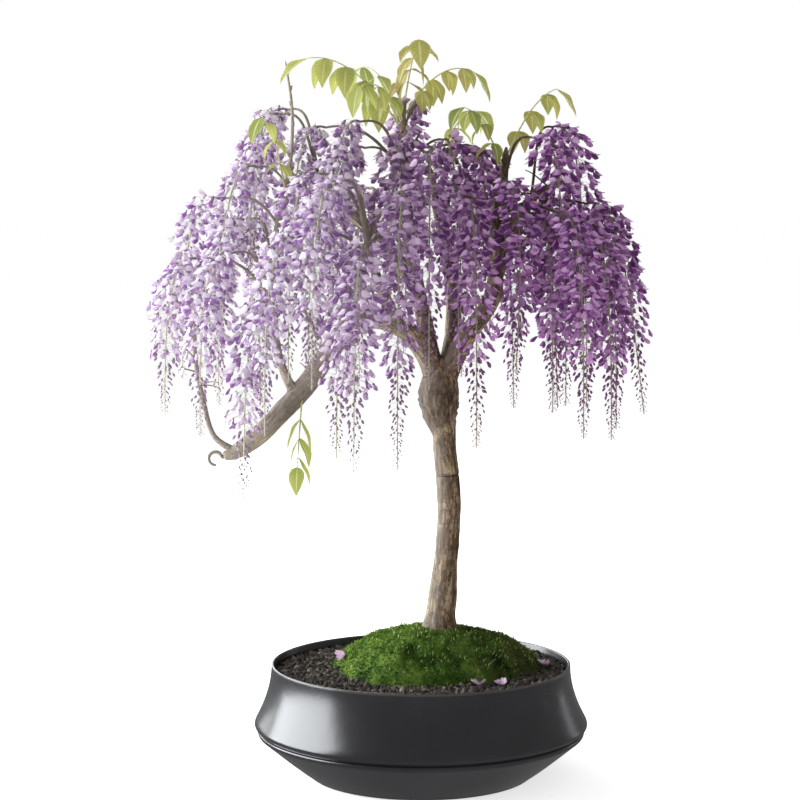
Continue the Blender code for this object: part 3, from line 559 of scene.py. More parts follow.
@dataclass(frozen=True)
class BarkFinish:
    """Grey-brown bark with long fissures, paler flakes and dark knots, and painted light: a pale lit
    colour mixed in towards the left and on sides that face the left.
    """

    fissure: Colour = srgb(44, 33, 25)
    bark: Colour = srgb(99, 75, 52)
    flake: Colour = srgb(196, 171, 136)
    young: Colour = srgb(84, 78, 46)
    # Painted light: the pale colour of bark where light falls
    sunlit: Colour = srgb(204, 195, 181)
    lichen: Colour = srgb(160, 160, 142)
    ridge_scale: float = 260.0
    blotch_scale: float = 66.0
    fine_scale: float = 900.0
    mark_scale: float = 110.0
    crack_scale: float = 120.0
    lichen_scale: float = 55.0
    ring_sharpness: float = 500.0
    knuckle_sharpness: float = 30.0
    # How much painted light the bark and the twigs get
    sunlit_share: float = 0.48
    sunlit_twig_share: float = 0.40
    relief: float = 0.0030

    def build(self) -> bpy.types.Material:
        """Make the bark's material, whose marks follow each stem's own grain.

        Returns:
            The material.
        """
        graph = Graph.of_material("bark")
        grain = graph.attribute("grain", "Vector")
        place = graph.place()
        age, _, _ = graph.parts(graph.attribute("tint"))
        long = graph.noise(graph.scaled(grain, (1.0, 1.0, 0.34)), self.ridge_scale, 6.0, 0.68)
        broad = graph.noise(graph.scaled(grain, (1.0, 1.0, 0.50)), self.blotch_scale, 5.0, 0.6)
        fine = graph.noise(place, self.fine_scale, 2.0)
        marks = graph.noise(graph.scaled(grain, (0.30, 0.30, 2.2)), self.mark_scale, 3.0, 0.6)
        marks = marks.between(0.60, 0.70)
        _, _, height = graph.parts(place)
        ring = (height - RING_Z) * self.ring_sharpness + 3.0 * (broad - 0.5)
        ring = 1.0 - (ring * ring).between(0.15, 0.9)
        crack = graph.noise(graph.scaled(grain, (1.0, 1.0, 0.10)), self.crack_scale, 3.0, 0.5)
        crack = 1.0 - crack.between(0.34, 0.50)
        level = 0.62 * long + 0.46 * broad + 0.25 * (fine - 0.5)
        bark = graph.ramp(level, (0.40, self.fissure), (0.53, self.bark), (0.69, self.flake))
        bark = graph.mix(0.45 * crack, bark, self.fissure)
        bark = graph.mix(0.55 * marks, bark, self.fissure)
        bark = graph.mix(ring * long.between(0.40, 0.60) * 0.8, bark, self.fissure)
        patch = graph.noise(place, self.lichen_scale, 4.0, 0.7).between(0.60, 0.72)
        bark = graph.mix(0.35 * patch, bark, self.lichen)
        # Painted light: the sunlit colour is mixed into bark and twigs towards the left and on sides
        # that face the left
        sun = graph.attribute("sun", "Fac")
        bark = graph.mix(self.sunlit_share * sun, bark, self.sunlit)
        twig = graph.mix(long, self.young, self.fissure)
        twig = graph.mix(self.sunlit_twig_share * sun, twig, self.sunlit)
        burr = (height - KNUCKLE_Z) * self.knuckle_sharpness
        burr = 1.0 - (burr * burr).between(0.1, 1.4)
        bark = graph.mix(burr * (0.25 + 0.75 * broad.between(0.38, 0.62)) * 0.6, bark, self.fissure)
        bark = graph.mix(1.0 - age, bark, twig)
        relief = 0.65 * long + 0.25 * fine - 0.40 * crack - 0.30 * marks - 0.8 * ring
        return graph.finish(bark, 0.80 + 0.15 * fine, relief, self.relief)


@dataclass(frozen=True)
class FlowerFinish:
    """Petals, buds and stalks in their own colours, with a paler, lit copy of them mixed in towards
    the left as painted light.
    """

    dusk: Colour = srgb(80, 28, 90)
    violet: Colour = srgb(194, 134, 197)
    pale: Colour = srgb(244, 216, 244)
    # Painted light: paler, lit copies of the colours above, mixed in towards the left
    painted_light_dusk: Colour = srgb(158, 116, 176)
    painted_light_violet: Colour = srgb(241, 232, 244)
    painted_light_pale: Colour = srgb(254, 252, 254)
    calyx: Colour = srgb(92, 66, 76)
    # Painted light: a lit copy of the calyx colour, and below it, of the stalk colour
    painted_light_calyx: Colour = srgb(142, 124, 134)
    stalk: Colour = srgb(150, 160, 104)
    painted_light_stalk: Colour = srgb(202, 208, 172)
    glow: Colour = srgb(226, 184, 230)
    mottle_scale: float = 420.0
    vein_scale: float = 1400.0
    relief: float = 0.00025
    gloss: float = 0.3

    def build(self, name: str) -> bpy.types.Material:
        """The flowers' material.

        Args:
            name: the material's name.

        Returns:
            The material.
        """
        graph = Graph.of_material(name)
        place = graph.place()
        tone, chance, green = graph.parts(graph.attribute("tint"))
        sun = graph.attribute("sun", "Fac")
        mottle = graph.noise(place, self.mottle_scale, 2.0)
        level = tone + 0.55 * (chance - 0.5) + 0.20 * (mottle - 0.5)
        deep = graph.ramp(level, (0.06, self.dusk), (0.44, self.violet), (0.95, self.pale))
        # Painted light: a paler, lit copy of the colours, mixed in by the sun share towards the left;
        # the deep copy is the flowers' colour without it
        light = graph.ramp(
            level, (0.00, self.painted_light_dusk), (0.34, self.painted_light_violet), (0.80, self.painted_light_pale)
        )
        petal = graph.mix(sun, deep, light)
        stalk = graph.mix(sun, self.stalk, self.painted_light_stalk)
        calyx = graph.mix(sun, self.calyx, self.painted_light_calyx)
        petal = graph.mix(green.between(0.02, 0.45), petal, calyx)
        petal = graph.mix(green.between(0.55, 0.95), petal, stalk)
        veins = graph.noise(graph.scaled(place, (1.0, 1.0, 0.25)), self.vein_scale, 1.0)
        shine = {"Specular IOR Level": self.gloss}
        graph.finish(petal, 0.52 + 0.12 * mottle, veins, self.relief, shine)
        return graph.let_light_through(0.36 - 0.18 * sun, self.glow)


@dataclass(frozen=True)
class LeafFinish:
    """Young leaflets with pale veins."""

    fresh: Colour = srgb(172, 182, 98)
    old: Colour = srgb(112, 134, 58)
    bronze: Colour = srgb(168, 146, 84)
    vein: Colour = srgb(230, 228, 182)
    glow: Colour = srgb(206, 210, 112)
    patch_scale: float = 46.0
    grain_scale: float = 500.0
    side_veins: float = 52.0
    vein_slant: float = 13.0
    relief: float = 0.0004
    gloss: float = 0.4
    thinness: float = 0.34

    def build(self, name: str) -> bpy.types.Material:
        """The leaves' material.

        Args:
            name: the material's name.

        Returns:
            The material.
        """
        graph = Graph.of_material(name)
        place = graph.place()
        across, down, chance = graph.parts(graph.attribute("tint"))
        # On the leaflets this is their bronze tone; on the ribs it is the painted-light share, so ribs
        # turn more bronze towards the left
        bronze = graph.attribute("sun", "Fac")
        patch = graph.noise(place, self.patch_scale, 3.0)
        leaf = graph.mix((chance + 0.4 * (patch - 0.5)).between(0.25, 0.85), self.old, self.fresh)
        leaf = graph.mix((bronze + 0.5 * (patch - 0.5)).between(0.1, 0.9), leaf, self.bronze)
        middle = 1.0 - across.between(0.04, 0.16)
        wave = (down * self.side_veins - across * self.vein_slant).sine()
        side = (wave * 0.5 + 0.5).between(0.86, 0.99)
        rim = across.between(0.80, 1.0)
        veins = middle * 0.75 + side * 0.30 + rim * 0.35
        leaf = graph.mix(veins, leaf, self.vein)
        height = 1.0 - veins + 0.3 * graph.noise(place, self.grain_scale, 2.0)
        shine = {"Specular IOR Level": self.gloss}
        graph.finish(leaf, 0.42 + 0.12 * patch, height, self.relief, shine)
        return graph.let_light_through(self.thinness, self.glow)


@dataclass(frozen=True)
class PetalFinish:
    """Pale petals that have fallen."""

    pale: Colour = srgb(250, 228, 246)
    edge: Colour = srgb(214, 170, 212)
    glow: Colour = srgb(230, 190, 225)
    mottle_scale: float = 300.0
    relief: float = 0.0003
    thinness: float = 0.20

    def build(self) -> bpy.types.Material:
        """Make the fallen petals' material.

        Returns:
            The material.
        """
        graph = Graph.of_material("petal")
        place = graph.place()
        tone, chance, _ = graph.parts(graph.attribute("tint"))
        mottle = graph.noise(place, self.mottle_scale, 3.0)
        level = (tone + 0.5 * (mottle - 0.5) + 0.2 * chance).between(0.2, 1.0)
        petal = graph.mix(level, self.pale, self.edge)
        graph.finish(petal, 0.5 + 0.1 * mottle, mottle, self.relief)
        return graph.let_light_through(self.thinness, self.glow)


# Mesh making

NO_QUADS = np.zeros((0, 4), int)
NO_TRIS = np.zeros((0, 3), int)


@dataclass
class Template:
    """A small shape that is copied many times."""

    points: np.ndarray
    quads: np.ndarray
    tris: np.ndarray
    tints: np.ndarray


class MeshMaker:
    """Collects points, faces and tints, and turns them into one mesh."""

    def __init__(self) -> None:
        """Start empty."""
        self.points: list[np.ndarray] = []
        self.tints: list[np.ndarray] = []
        self.grains: list[np.ndarray] = []
        self.quads: list[np.ndarray] = []
        self.tris: list[np.ndarray] = []
        self.count = 0

    def add(
        self, points: np.ndarray, tints: np.ndarray, quads: np.ndarray = NO_QUADS,
        tris: np.ndarray = NO_TRIS, grain: np.ndarray | None = None,
    ) -> None:
        """Add a patch of mesh.

        Args:
            points: its points, one a row.
            tints: four values for each point.
            quads: point numbers of its faces with four corners.
            tris: point numbers of its faces with three corners.
            grain: where each point lies along and round its stem.
        """
        self.points.append(points)
        self.tints.append(np.broadcast_to(tints, (len(points), 4)))
        self.grains.append(points if grain is None else grain)
        self.quads.append(quads + self.count)
        self.tris.append(tris + self.count)
        self.count += len(points)

    def add_grid(self, points: np.ndarray, tints: np.ndarray) -> None:
        """Add a sheet of points that lie in rows and columns, with their tints."""
        faces = grid_quads(*points.shape[:2])
        self.add(points.reshape(-1, 3), tints.reshape(-1, 4), faces)

    def last_tints(self) -> np.ndarray:
        """The tints of the patch that was added last, free to be changed."""
        self.tints[-1] = np.array(self.tints[-1])
        return self.tints[-1]

    def scatter(
        self, shape: Template, turns: np.ndarray, places: np.ndarray, chance: np.ndarray,
        sun: np.ndarray,
    ) -> None:
        """Add many copies of a small shape.

        Args:
            shape: what is copied.
            turns: a scaled turning matrix for each copy.
            places: where each copy stands.
            chance: each copy's own draw, which goes into its tint.
            sun: each copy's share of painted light.
        """
        count, size = len(places), len(shape.points)
        points = np.einsum("nij,vj->nvi", turns, shape.points) + places[:, None, :]
        tints = np.repeat(shape.tints[None], count, axis=0)
        tints[:, :, 1] = chance[:, None]
        tints[:, :, 3] = sun[:, None]
        quads, tris = (repeated(faces, count, size) for faces in (shape.quads, shape.tris))
        self.add(points.reshape(-1, 3), tints.reshape(-1, 4), quads, tris)

    def build(self, name: str, material: bpy.types.Material, smooth: bool = True) -> bpy.types.Object:
        """Make the object.

        Args:
            name: its name.
            material: its finish.
            smooth: whether its shading is smooth.

        Returns:
            The object, linked to the scene.
        """
        points = np.concatenate(self.points).astype(np.float32)
        tints = np.concatenate(self.tints).astype(np.float32)
        quads = np.concatenate(self.quads)
        tris = np.concatenate(self.tris)
        mesh = bpy.data.meshes.new(name)
        mesh.vertices.add(len(points))
        mesh.vertices.foreach_set("co", points.ravel())
        loops = np.concatenate([quads.ravel(), tris.ravel()]).astype(np.int32)
        mesh.loops.add(len(loops))
        mesh.loops.foreach_set("vertex_index", loops)
        sizes = np.concatenate([np.full(len(quads), 4), np.full(len(tris), 3)]).astype(np.int32)
        starts = np.concatenate([[0], np.cumsum(sizes)[:-1]]).astype(np.int32)
        mesh.polygons.add(len(sizes))
        mesh.polygons.foreach_set("loop_start", starts)
        mesh.update(calc_edges=True)
        mesh.validate()
        mesh.polygons.foreach_set("use_smooth", np.full(len(mesh.polygons), smooth))
        opaque = np.ones(len(tints), np.float32)
        grains = np.concatenate(self.grains).astype(np.float32)
        # The sun attribute holds the share of painted light on flowers, stalks and wood; on leaflets
        # it holds their bronze tone instead
        for label, kind, key, values in (
            ("tint", "FLOAT_COLOR", "color", np.c_[tints[:, :3], opaque]),
            ("sun", "FLOAT", "value", np.ascontiguousarray(tints[:, 3])),
            ("grain", "FLOAT_VECTOR", "vector", grains),
        ):
            mesh.attributes.new(label, kind, "POINT").data.foreach_set(key, values.ravel())
        mesh.materials.append(material)
        made = bpy.data.objects.new(name, mesh)
        bpy.context.scene.collection.objects.link(made)
        LOG.info("%s: %d faces", name, len(mesh.polygons))
        return made


class Grown:
    """A piece that collects its own mesh and has its own seeded draw."""

    maker: MeshMaker
    draw: np.random.Generator

    def start(self, seed: int) -> None:
        """Begin the mesh and the draw."""
        self.maker = MeshMaker()
        self.draw = np.random.default_rng(seed)


def unit(rows: np.ndarray) -> np.ndarray:
    """Rows scaled to length 1."""
    return rows / np.maximum(np.linalg.norm(rows, axis=-1, keepdims=True), 1e-12)


def travelled(points: np.ndarray) -> np.ndarray:
    """How far along a line each of its points lies."""
    return np.r_[0.0, np.cumsum(np.linalg.norm(np.diff(points, axis=0), axis=1))]


def read_at(distances: np.ndarray | float, far: np.ndarray, rows: np.ndarray) -> np.ndarray:
    """Rows read from between the points of a line.

    Args:
        distances: how far along each is read.
        far: how far along each point of the line lies.
        rows: a row of three values for each point of the line.

    Returns:
        The rows that were read.
    """
    return np.stack([np.interp(distances, far, rows[:, i]) for i in range(3)], axis=-1)


def repeated(faces: np.ndarray, count: int, size: int) -> np.ndarray:
    """Faces repeated for many copies of a shape.

    Args:
        faces: the point numbers of the first copy's faces.
        count: how many copies there are.
        size: how many points each copy has.

    Returns:
        The point numbers of every copy's faces.
    """
    step = (np.arange(count) * size)[:, None, None]
    return (faces[None] + step).reshape(-1, faces.shape[1])


def spokes_at(angles: np.ndarray, side: np.ndarray, over: np.ndarray) -> np.ndarray:
    """Directions round each of many centres.

    Args:
        angles: the angles, the same round each centre.
        side: each centre's direction at angle 0.
        over: each centre's direction at a quarter turn.

    Returns:
        The directions, by centre and angle.
    """
    turns = np.stack([np.cos(angles), np.sin(angles)])[:, None, :, None]
    return turns[0] * side[:, None] + turns[1] * over[:, None]


def values_of(items: bpy.types.bpy_prop_collection, key: str, width: int = 1) -> np.ndarray:
    """One value of each item of a mesh.

    Args:
        items: the mesh's points, corners or faces.
        key: the value's name.
        width: how many numbers it has. A value of one number is whole.

    Returns:
        One row for each item, or a plain list of whole numbers.
    """
    values = np.empty(len(items) * width, np.int32 if width == 1 else np.float32)
    items.foreach_get(key, values)
    return values if width == 1 else values.reshape(-1, width)


def grid_quads(rows: int, columns: int, ring: bool = False) -> np.ndarray:
    """The faces of a grid of points.

    Args:
        rows: how many rows of points.
        columns: how many points in a row.
        ring: whether each row closes on itself.

    Returns:
        Four point numbers for each face.
    """
    across = columns if ring else columns - 1
    i, j = np.meshgrid(np.arange(rows - 1), np.arange(across), indexing="ij")
    k = (j + 1) % columns
    first, last = i * columns, (i + 1) * columns
    return np.stack([first + j, first + k, last + k, last + j], axis=-1).reshape(-1, 4)


def stem_frames(centres: np.ndarray) -> tuple[np.ndarray, np.ndarray, np.ndarray]:
    """Directions along and across a stem, turned as little as can be.

    Args:
        centres: points along it.

    Returns:
        The headings and two directions across.
    """
    headings = unit(np.gradient(centres, axis=0))
    level = (0.0, 1.0, 0.0) if abs(headings[0][1]) < 0.9 else (1.0, 0.0, 0.0)
    sides = [unit(np.cross(headings[0], level))]
    for heading in headings[1:]:
        sides.append(unit(sides[-1] - heading * np.dot(sides[-1], heading)))
    sides = np.array(sides)
    return headings, sides, np.cross(headings, sides)


def add_stem(
    maker: MeshMaker, rows: np.ndarray, sides: int, tint: Sequence[float], wobble: float = 0.0
) -> None:
    """Add a closed round stem.

    Args:
        maker: what collects the mesh.
        rows: points along it as (x, y, z, radius).
        sides: how many sides it has.
        tint: its tint.
        wobble: how uneven its radius is, as a share.
    """
    centres, radii = rows[:, :3], rows[:, 3].copy()
    if wobble:
        radii *= 1.0 + wobble * np.sin(np.arange(len(radii)) * 2.4 + 37.0 * centres[0, 0])
    _, side, over = stem_frames(centres)
    angles = np.linspace(0.0, 2.0 * math.pi, sides, endpoint=False)
    points = centres[:, None] + radii[:, None, None] * spokes_at(angles, side, over)
    grain = np.zeros((len(rows), sides, 3))
    grain[:, :, 0] = np.cos(angles)[None] * radii[:, None]
    grain[:, :, 1] = np.sin(angles)[None] * radii[:, None]
    grain[:, :, 2] = travelled(centres)[:, None] + 3.0 * centres[0, 2]
    tint = np.tile(np.array(tint, float), (len(rows) * sides + 2, 1))
    # Painted light: the fourth tint is the share of painted light, by how far left each point lies
    tint[:, 3] = sun_share(np.r_[np.repeat(centres[:, 0], sides), centres[0, 0], centres[-1, 0]])
    count = len(rows) * sides
    turn = np.arange(sides)
    following = (turn + 1) % sides
    last = count - sides
    start = np.stack([np.full(sides, count), following, turn], axis=-1)
    finish = np.stack([np.full(sides, count + 1), last + turn, last + following], axis=-1)
    maker.add(
        np.vstack([points.reshape(-1, 3), centres[0], centres[-1]]), tint,
        grid_quads(len(rows), sides, True), np.vstack([start, finish]),
        np.vstack([grain.reshape(-1, 3), grain[0, :1], grain[-1, :1]]),
    )


def smooth_path(points: Sequence[Sequence[float]], count: int) -> np.ndarray:
    """Points read from a smooth curve.

    Args:
        points: the curve's own points, as (x, y, z, radius).
        count: how many are read.

    Returns:
        One point a row.
    """
    rows = np.array(points, float)
    rows = np.vstack([2 * rows[0] - rows[1], rows, 2 * rows[-1] - rows[-2]])
    spans = len(points) - 1
    place = spans * np.arange(count) / (count - 1)
    k = np.minimum(place.astype(int), spans - 1)
    t = (place - k)[:, None]
    a, b, c, d = rows[k], rows[k + 1], rows[k + 2], rows[k + 3]
    return 0.5 * (
        2 * b + (c - a) * t + (2 * a - 5 * b + 4 * c - d) * t**2 + (3 * b - a - 3 * c + d) * t**3
    )


def cubic(
    start: np.ndarray, first: np.ndarray, second: np.ndarray, end: np.ndarray, count: int
) -> np.ndarray:
    """Points on a cubic Bezier curve.

    Args:
        start: its start.
        first: the first handle.
        second: the second handle.
        end: its end.
        count: how many points.

    Returns:
        One point a row.
    """
    t = np.linspace(0.0, 1.0, count)[:, None]
    s = 1.0 - t
    return s**3 * start + 3 * s * s * t * first + 3 * s * t * t * second + t**3 * end


def node_points(name: str) -> np.ndarray:
    """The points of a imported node.

    Args:
        name: the node's name.

    Returns:
        One point a row, in the part's frame.
    """
    node = frame["nodes"][name]
    world = np.array(node.matrix_world)
    return values_of(node.data.vertices, "co", 3) @ world[:3, :3].T + world[:3, 3]


def node_surface(name: str) -> BVHTree:
    """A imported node's surface, for finding what lies on it.

    Args:
        name: the node's name.

    Returns:
        The surface.
    """
    faces = [tuple(face.vertices) for face in frame["nodes"][name].data.polygons]
    return BVHTree.FromPolygons([Vector(point) for point in node_points(name)], faces)


def outward(x: float, y: float) -> np.ndarray:
    """The level direction away from the crown's middle."""
    return unit(np.array((x - CROWN_X, y, 0.0)))


def sun_share(x: np.ndarray) -> np.ndarray:
    """How much painted light is mixed into the colour of flowers, stalks and wood, which grows
    smoothly towards the left.
    """
    share = np.clip((SHADE_X - x) / (SHADE_X - SUN_X), 0.0, 1.0)
    return share * share * (3.0 - 2.0 * share)


def install(piece: bpy.types.Object, slot: str, *nodes: str) -> None:
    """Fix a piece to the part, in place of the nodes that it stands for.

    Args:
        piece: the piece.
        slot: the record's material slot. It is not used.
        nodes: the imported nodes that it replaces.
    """
    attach(piece, ROOT)
    if nodes:
        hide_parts(*nodes)


# Pot and ground


@dataclass
class Pot:
    """The wide pot: a flared upper body over a tapered lower one."""

    rim_z: float = 0.149
    rim_radius: float = 0.200
    lip: float = 0.0034
    crown: float = 0.0012
    widest_z: float = 0.0735
    widest_radius: float = 0.2222
    flare_power: float = 1.9
    wall: float = 0.006
    foot_radius: float = 0.147
    unevenness: float = 0.00022
    steps: int = 168

    def flare(self, z: np.ndarray) -> np.ndarray:
        """The outer radius between the rim and the widest line."""
        share = (self.rim_z - z) / (self.rim_z - self.widest_z)
        return self.rim_radius + (self.widest_radius - self.rim_radius) * share**self.flare_power

    def lip_arc(self, angle: np.ndarray) -> np.ndarray:
        """Points of the lip's crown at angles round its middle line.

        Args:
            angle: the angles, 0 on its outer side.

        Returns:
            A radius and a height a row.
        """
        middle = self.rim_radius - self.lip / 2
        across = middle + self.lip / 2 * np.cos(angle)
        return np.c_[across, self.rim_z + self.crown * np.sin(angle)]

    def profile(self) -> np.ndarray:
        """The pot's whole outline, from the lip down, under the foot and up inside.

        Returns:
            A radius and a height a row.
        """
        lip_outer = self.lip_arc(np.linspace(math.pi * 0.5, 0.0, 6))
        z = np.linspace(self.rim_z - 0.003, self.widest_z + 0.0015, 26)
        side = np.c_[self.flare(z), z]
        edge = np.array([
            (0.22245, 0.0722), (0.22295, 0.0705), (0.22300, 0.0690), (0.22250, 0.0672),
            (0.22150, 0.0658), (0.21990, 0.0648), (0.21780, 0.0641), (0.21640, 0.0637),
            (0.21600, 0.0629), (0.21660, 0.0621), (0.21790, 0.0614), (0.21880, 0.0604),
            (0.21905, 0.0590), (0.21870, 0.0573), (0.21780, 0.0556), (0.21600, 0.0540),
        ])
        lower = cubic(
            np.array((0.21380, 0.0523)), np.array((0.1960, 0.0375)), np.array((0.1720, 0.0170)),
            np.array((self.foot_radius + 0.006, 0.0042)), 16,
        )
        foot = np.array([
            (self.foot_radius + 0.0042, 0.0026), (self.foot_radius + 0.0020, 0.0010),
            (self.foot_radius - 0.0006, 0.0002), (self.foot_radius - 0.004, 0.0), (0.0, 0.0),
        ])
        inside = [(0.0, 0.010), (0.138, 0.010), (0.2132, 0.0665)]
        z = np.linspace(0.080, 0.136, 5)
        inside += list(zip(self.flare(z) - self.wall, z))
        inside += [(0.19470, 0.1400), (0.19560, 0.1440), (0.19625, 0.1470)]
        lip_inner = self.lip_arc(np.linspace(math.pi, math.pi * 0.5, 6)[:-1])
        return np.vstack([lip_outer, side, edge, lower, foot, np.array(inside), lip_inner])

    def build(self) -> None:
        """Turn the pot and glaze it."""
        profile = self.profile()
        angles = np.linspace(0.0, 2.0 * math.pi, self.steps, endpoint=False)
        points = np.zeros((self.steps, len(profile), 3))
        points[:, :, 0] = np.cos(angles)[:, None] * profile[None, :, 0]
        points[:, :, 1] = np.sin(angles)[:, None] * profile[None, :, 0]
        points[:, :, 2] = profile[None, :, 1]
        wave = np.sin(3 * angles + 0.7)[:, None]
        uneven = self.unevenness * wave * np.sin(40 * profile[None, :, 1])
        points[:, :, 0] += uneven * np.cos(angles)[:, None]
        points[:, :, 1] += uneven * np.sin(angles)[:, None]
        count = len(profile)
        i, j = np.meshgrid(np.arange(self.steps), np.arange(count), indexing="ij")
        k, m = (i + 1) % self.steps, (j + 1) % count
        quads = np.stack([i * count + m, k * count + m, k * count + j, i * count + j], axis=-1)
        maker = MeshMaker()
        maker.add(points.reshape(-1, 3), np.zeros(4), quads.reshape(-1, 4))
        pot = maker.build("glazed_pot", PotFinish().build())
        install(pot, "pot_charcoal", "pot")


@dataclass
class Moss(Grown):
    """The moss mound over the roots, with its cushions, tufts and sprouts."""

    centre: tuple[float, float, float] = (0.018, 0.0, 0.1383)
    half_width: float = 0.138
    half_depth: float = 0.104
    height: float = 0.058
    clump: float = 0.004
    rings: int = 84
    steps: int = 220
    cushions: int = 330
    cushion_radius: float = 0.0135
    cushion_height: float = 0.0052
    roughness: float = 0.0011
    tufts: int = 15000
    tuft_leaves: int = 3
    sprouts: int = 900
    seed: int = 5
    middles: np.ndarray = field(init=False)

    def edge(self, angle: np.ndarray) -> np.ndarray:
        """How far the uneven edge lies at angles, as a share of an even one."""
        return 1.0 + 0.05 * np.sin(3 * angle + 1) + 0.04 * np.sin(5 * angle)

    def share_of(self, x: np.ndarray, y: np.ndarray) -> np.ndarray:
        """How far out from the mound's middle points lie.

        Args:
            x: their places across.
            y: their places in depth.

        Returns:
            0 at the middle and 1 at the edge.
        """
        across = (x - self.centre[0]) / self.half_width
        along = (y - self.centre[1]) / self.half_depth
        return np.hypot(across, along) / self.edge(np.arctan2(along, across))

    def surface(self, share: np.ndarray, angle: np.ndarray) -> np.ndarray:
        """Points of the plain mound.

        Args:
            share: how far out, from 0 to 1.
            angle: the direction from its middle.

        Returns:
            One point a row.
        """
        edge = self.edge(angle)
        height = np.maximum(0.0, 1.0 - share**2.2) ** 0.75
        clump = np.sin(7 * angle + 9 * share) * np.cos(4 * angle - 11 * share)
        lift = self.height * height + self.clump * clump * np.minimum(1.0, 3 * height) * share
        return np.stack([
            self.centre[0] + share * np.cos(angle) * self.half_width * edge,
            self.centre[1] + share * np.sin(angle) * self.half_depth * edge,
            self.centre[2] + lift,
        ], axis=-1)

    def drawn(self, count: int, reach: float = 1.0) -> tuple[np.ndarray, np.ndarray]:
        """Places spread evenly over the mound, as how far out and in what direction."""
        share = np.sqrt(self.draw.random(count)) * reach
        return share, self.draw.random(count) * 2.0 * math.pi

    def raised(self, points: np.ndarray) -> tuple[np.ndarray, np.ndarray]:
        """Raise points into cushions.

        Args:
            points: points of the plain mound.

        Returns:
            The raised points and how high on its cushion each is, from 0 to 1.
        """
        near = np.full(len(points), 1.0)
        for block in range(0, len(points), BLOCK):
            part = points[block : block + BLOCK, :2]
            gaps = np.linalg.norm(part[:, None] - self.middles[None], axis=2)
            near[block : block + BLOCK] = gaps.min(axis=1)
        dome = np.sqrt(np.maximum(0.0, 1.0 - (near / self.cushion_radius) ** 2))
        share = self.share_of(points[:, 0], points[:, 1])
        fade = np.clip((1.04 - share) / 0.12, 0.0, 1.0)
        lifted = points.copy()
        rough = np.array([noise.noise(Vector(p) * 420.0) for p in points])
        lifted[:, 2] += fade * (self.cushion_height * (dome - 0.45) + self.roughness * rough)
        return lifted, dome

    def build(self) -> None:
        """Grow the mound and dress it."""
        self.start(self.seed)
        self.middles = self.surface(*self.drawn(self.cushions))[:, :2]
        share, angle = np.meshgrid(
            np.linspace(0.0, 1.0, self.rings) ** 0.75,
            np.linspace(0.0, 2.0 * math.pi, self.steps, endpoint=False), indexing="ij",
        )
        points, dome = self.raised(self.surface(share.ravel(), angle.ravel()))
        tints = np.zeros((len(points), 4))
        # Painted shade: darker in the hollows between cushions, lighter on their tops
        tints[:, 0] = 0.15 + 0.45 * dome
        self.maker.add(points, tints, grid_quads(self.rings, self.steps, True))
        self.add_tufts()
        self.add_sprouts()
        install(self.maker.build("moss_mound", MossFinish().build()), "moss", "moss")

    def spots(self, count: int) -> tuple[np.ndarray, np.ndarray, np.ndarray]:
        """Seeded spots on the mound and just past its edge.

        Args:
            count: how many.

        Returns:
            The points, the directions away from the surface and the heights on the cushions.
        """
        points, dome = self.raised(self.surface(*self.drawn(count, 1.035)))
        away = points - np.array((self.centre[0], self.centre[1], self.centre[2] - 0.10))
        away[:, 2] *= 1.5
        return points, unit(away), dome

    def add_tufts(self) -> None:
        """Add the short pointed leaves that cover the moss."""
        spots = self.spots(self.tufts)
        points, away, dome = (np.repeat(values, self.tuft_leaves, axis=0) for values in spots)
        count = len(points)
        aim = unit(away + 0.75 * self.draw.normal(size=points.shape))
        side = unit(np.cross(aim, self.draw.normal(size=points.shape)))
        long = self.draw.uniform(0.0014, 0.0036, count)[:, None]
        wide = self.draw.uniform(0.00045, 0.0008, count)[:, None]
        corners = np.stack([points - wide * side, points + wide * side, points + long * aim], axis=1)
        # Painted shade: tufts are darker in the hollows and at their bases, lighter on the cushions
        # and at their tips
        tone = np.clip(0.20 + 0.55 * dome + self.draw.normal(0.0, 0.16, count), 0.0, 1.0)
        tints = np.zeros((count, 3, 4))
        tints[:, :, 0] = tone[:, None] * np.array((0.55, 0.55, 1.1))[None]
        tris = np.arange(count * 3).reshape(-1, 3)
        self.maker.add(corners.reshape(-1, 3), tints.reshape(-1, 4), tris=tris)

    def add_sprouts(self) -> None:
        """Add the small yellow-green sprouts that stand above the moss."""
        draw = self.draw
        points, away, _ = self.spots(self.sprouts)
        for point, up in zip(points, away):
            aim = unit(up + 0.35 * draw.normal(size=3) + 0.4 * UP)
            side = unit(np.cross(aim, draw.normal(size=3)))
            long = draw.uniform(0.003, 0.0065)
            wide = draw.uniform(0.0006, 0.0010)
            middle = point + 0.55 * long * aim
            corners = np.array([
                point - 0.3 * wide * side, point + 0.3 * wide * side, middle + wide * side,
                middle - wide * side, point + long * aim,
            ])
            tint = np.array((0.8, 0.0, draw.uniform(0.25, 0.8), 0.0))
            self.maker.add(corners, tint, np.array([(0, 1, 2, 3)]), np.array([(3, 2, 4)]))


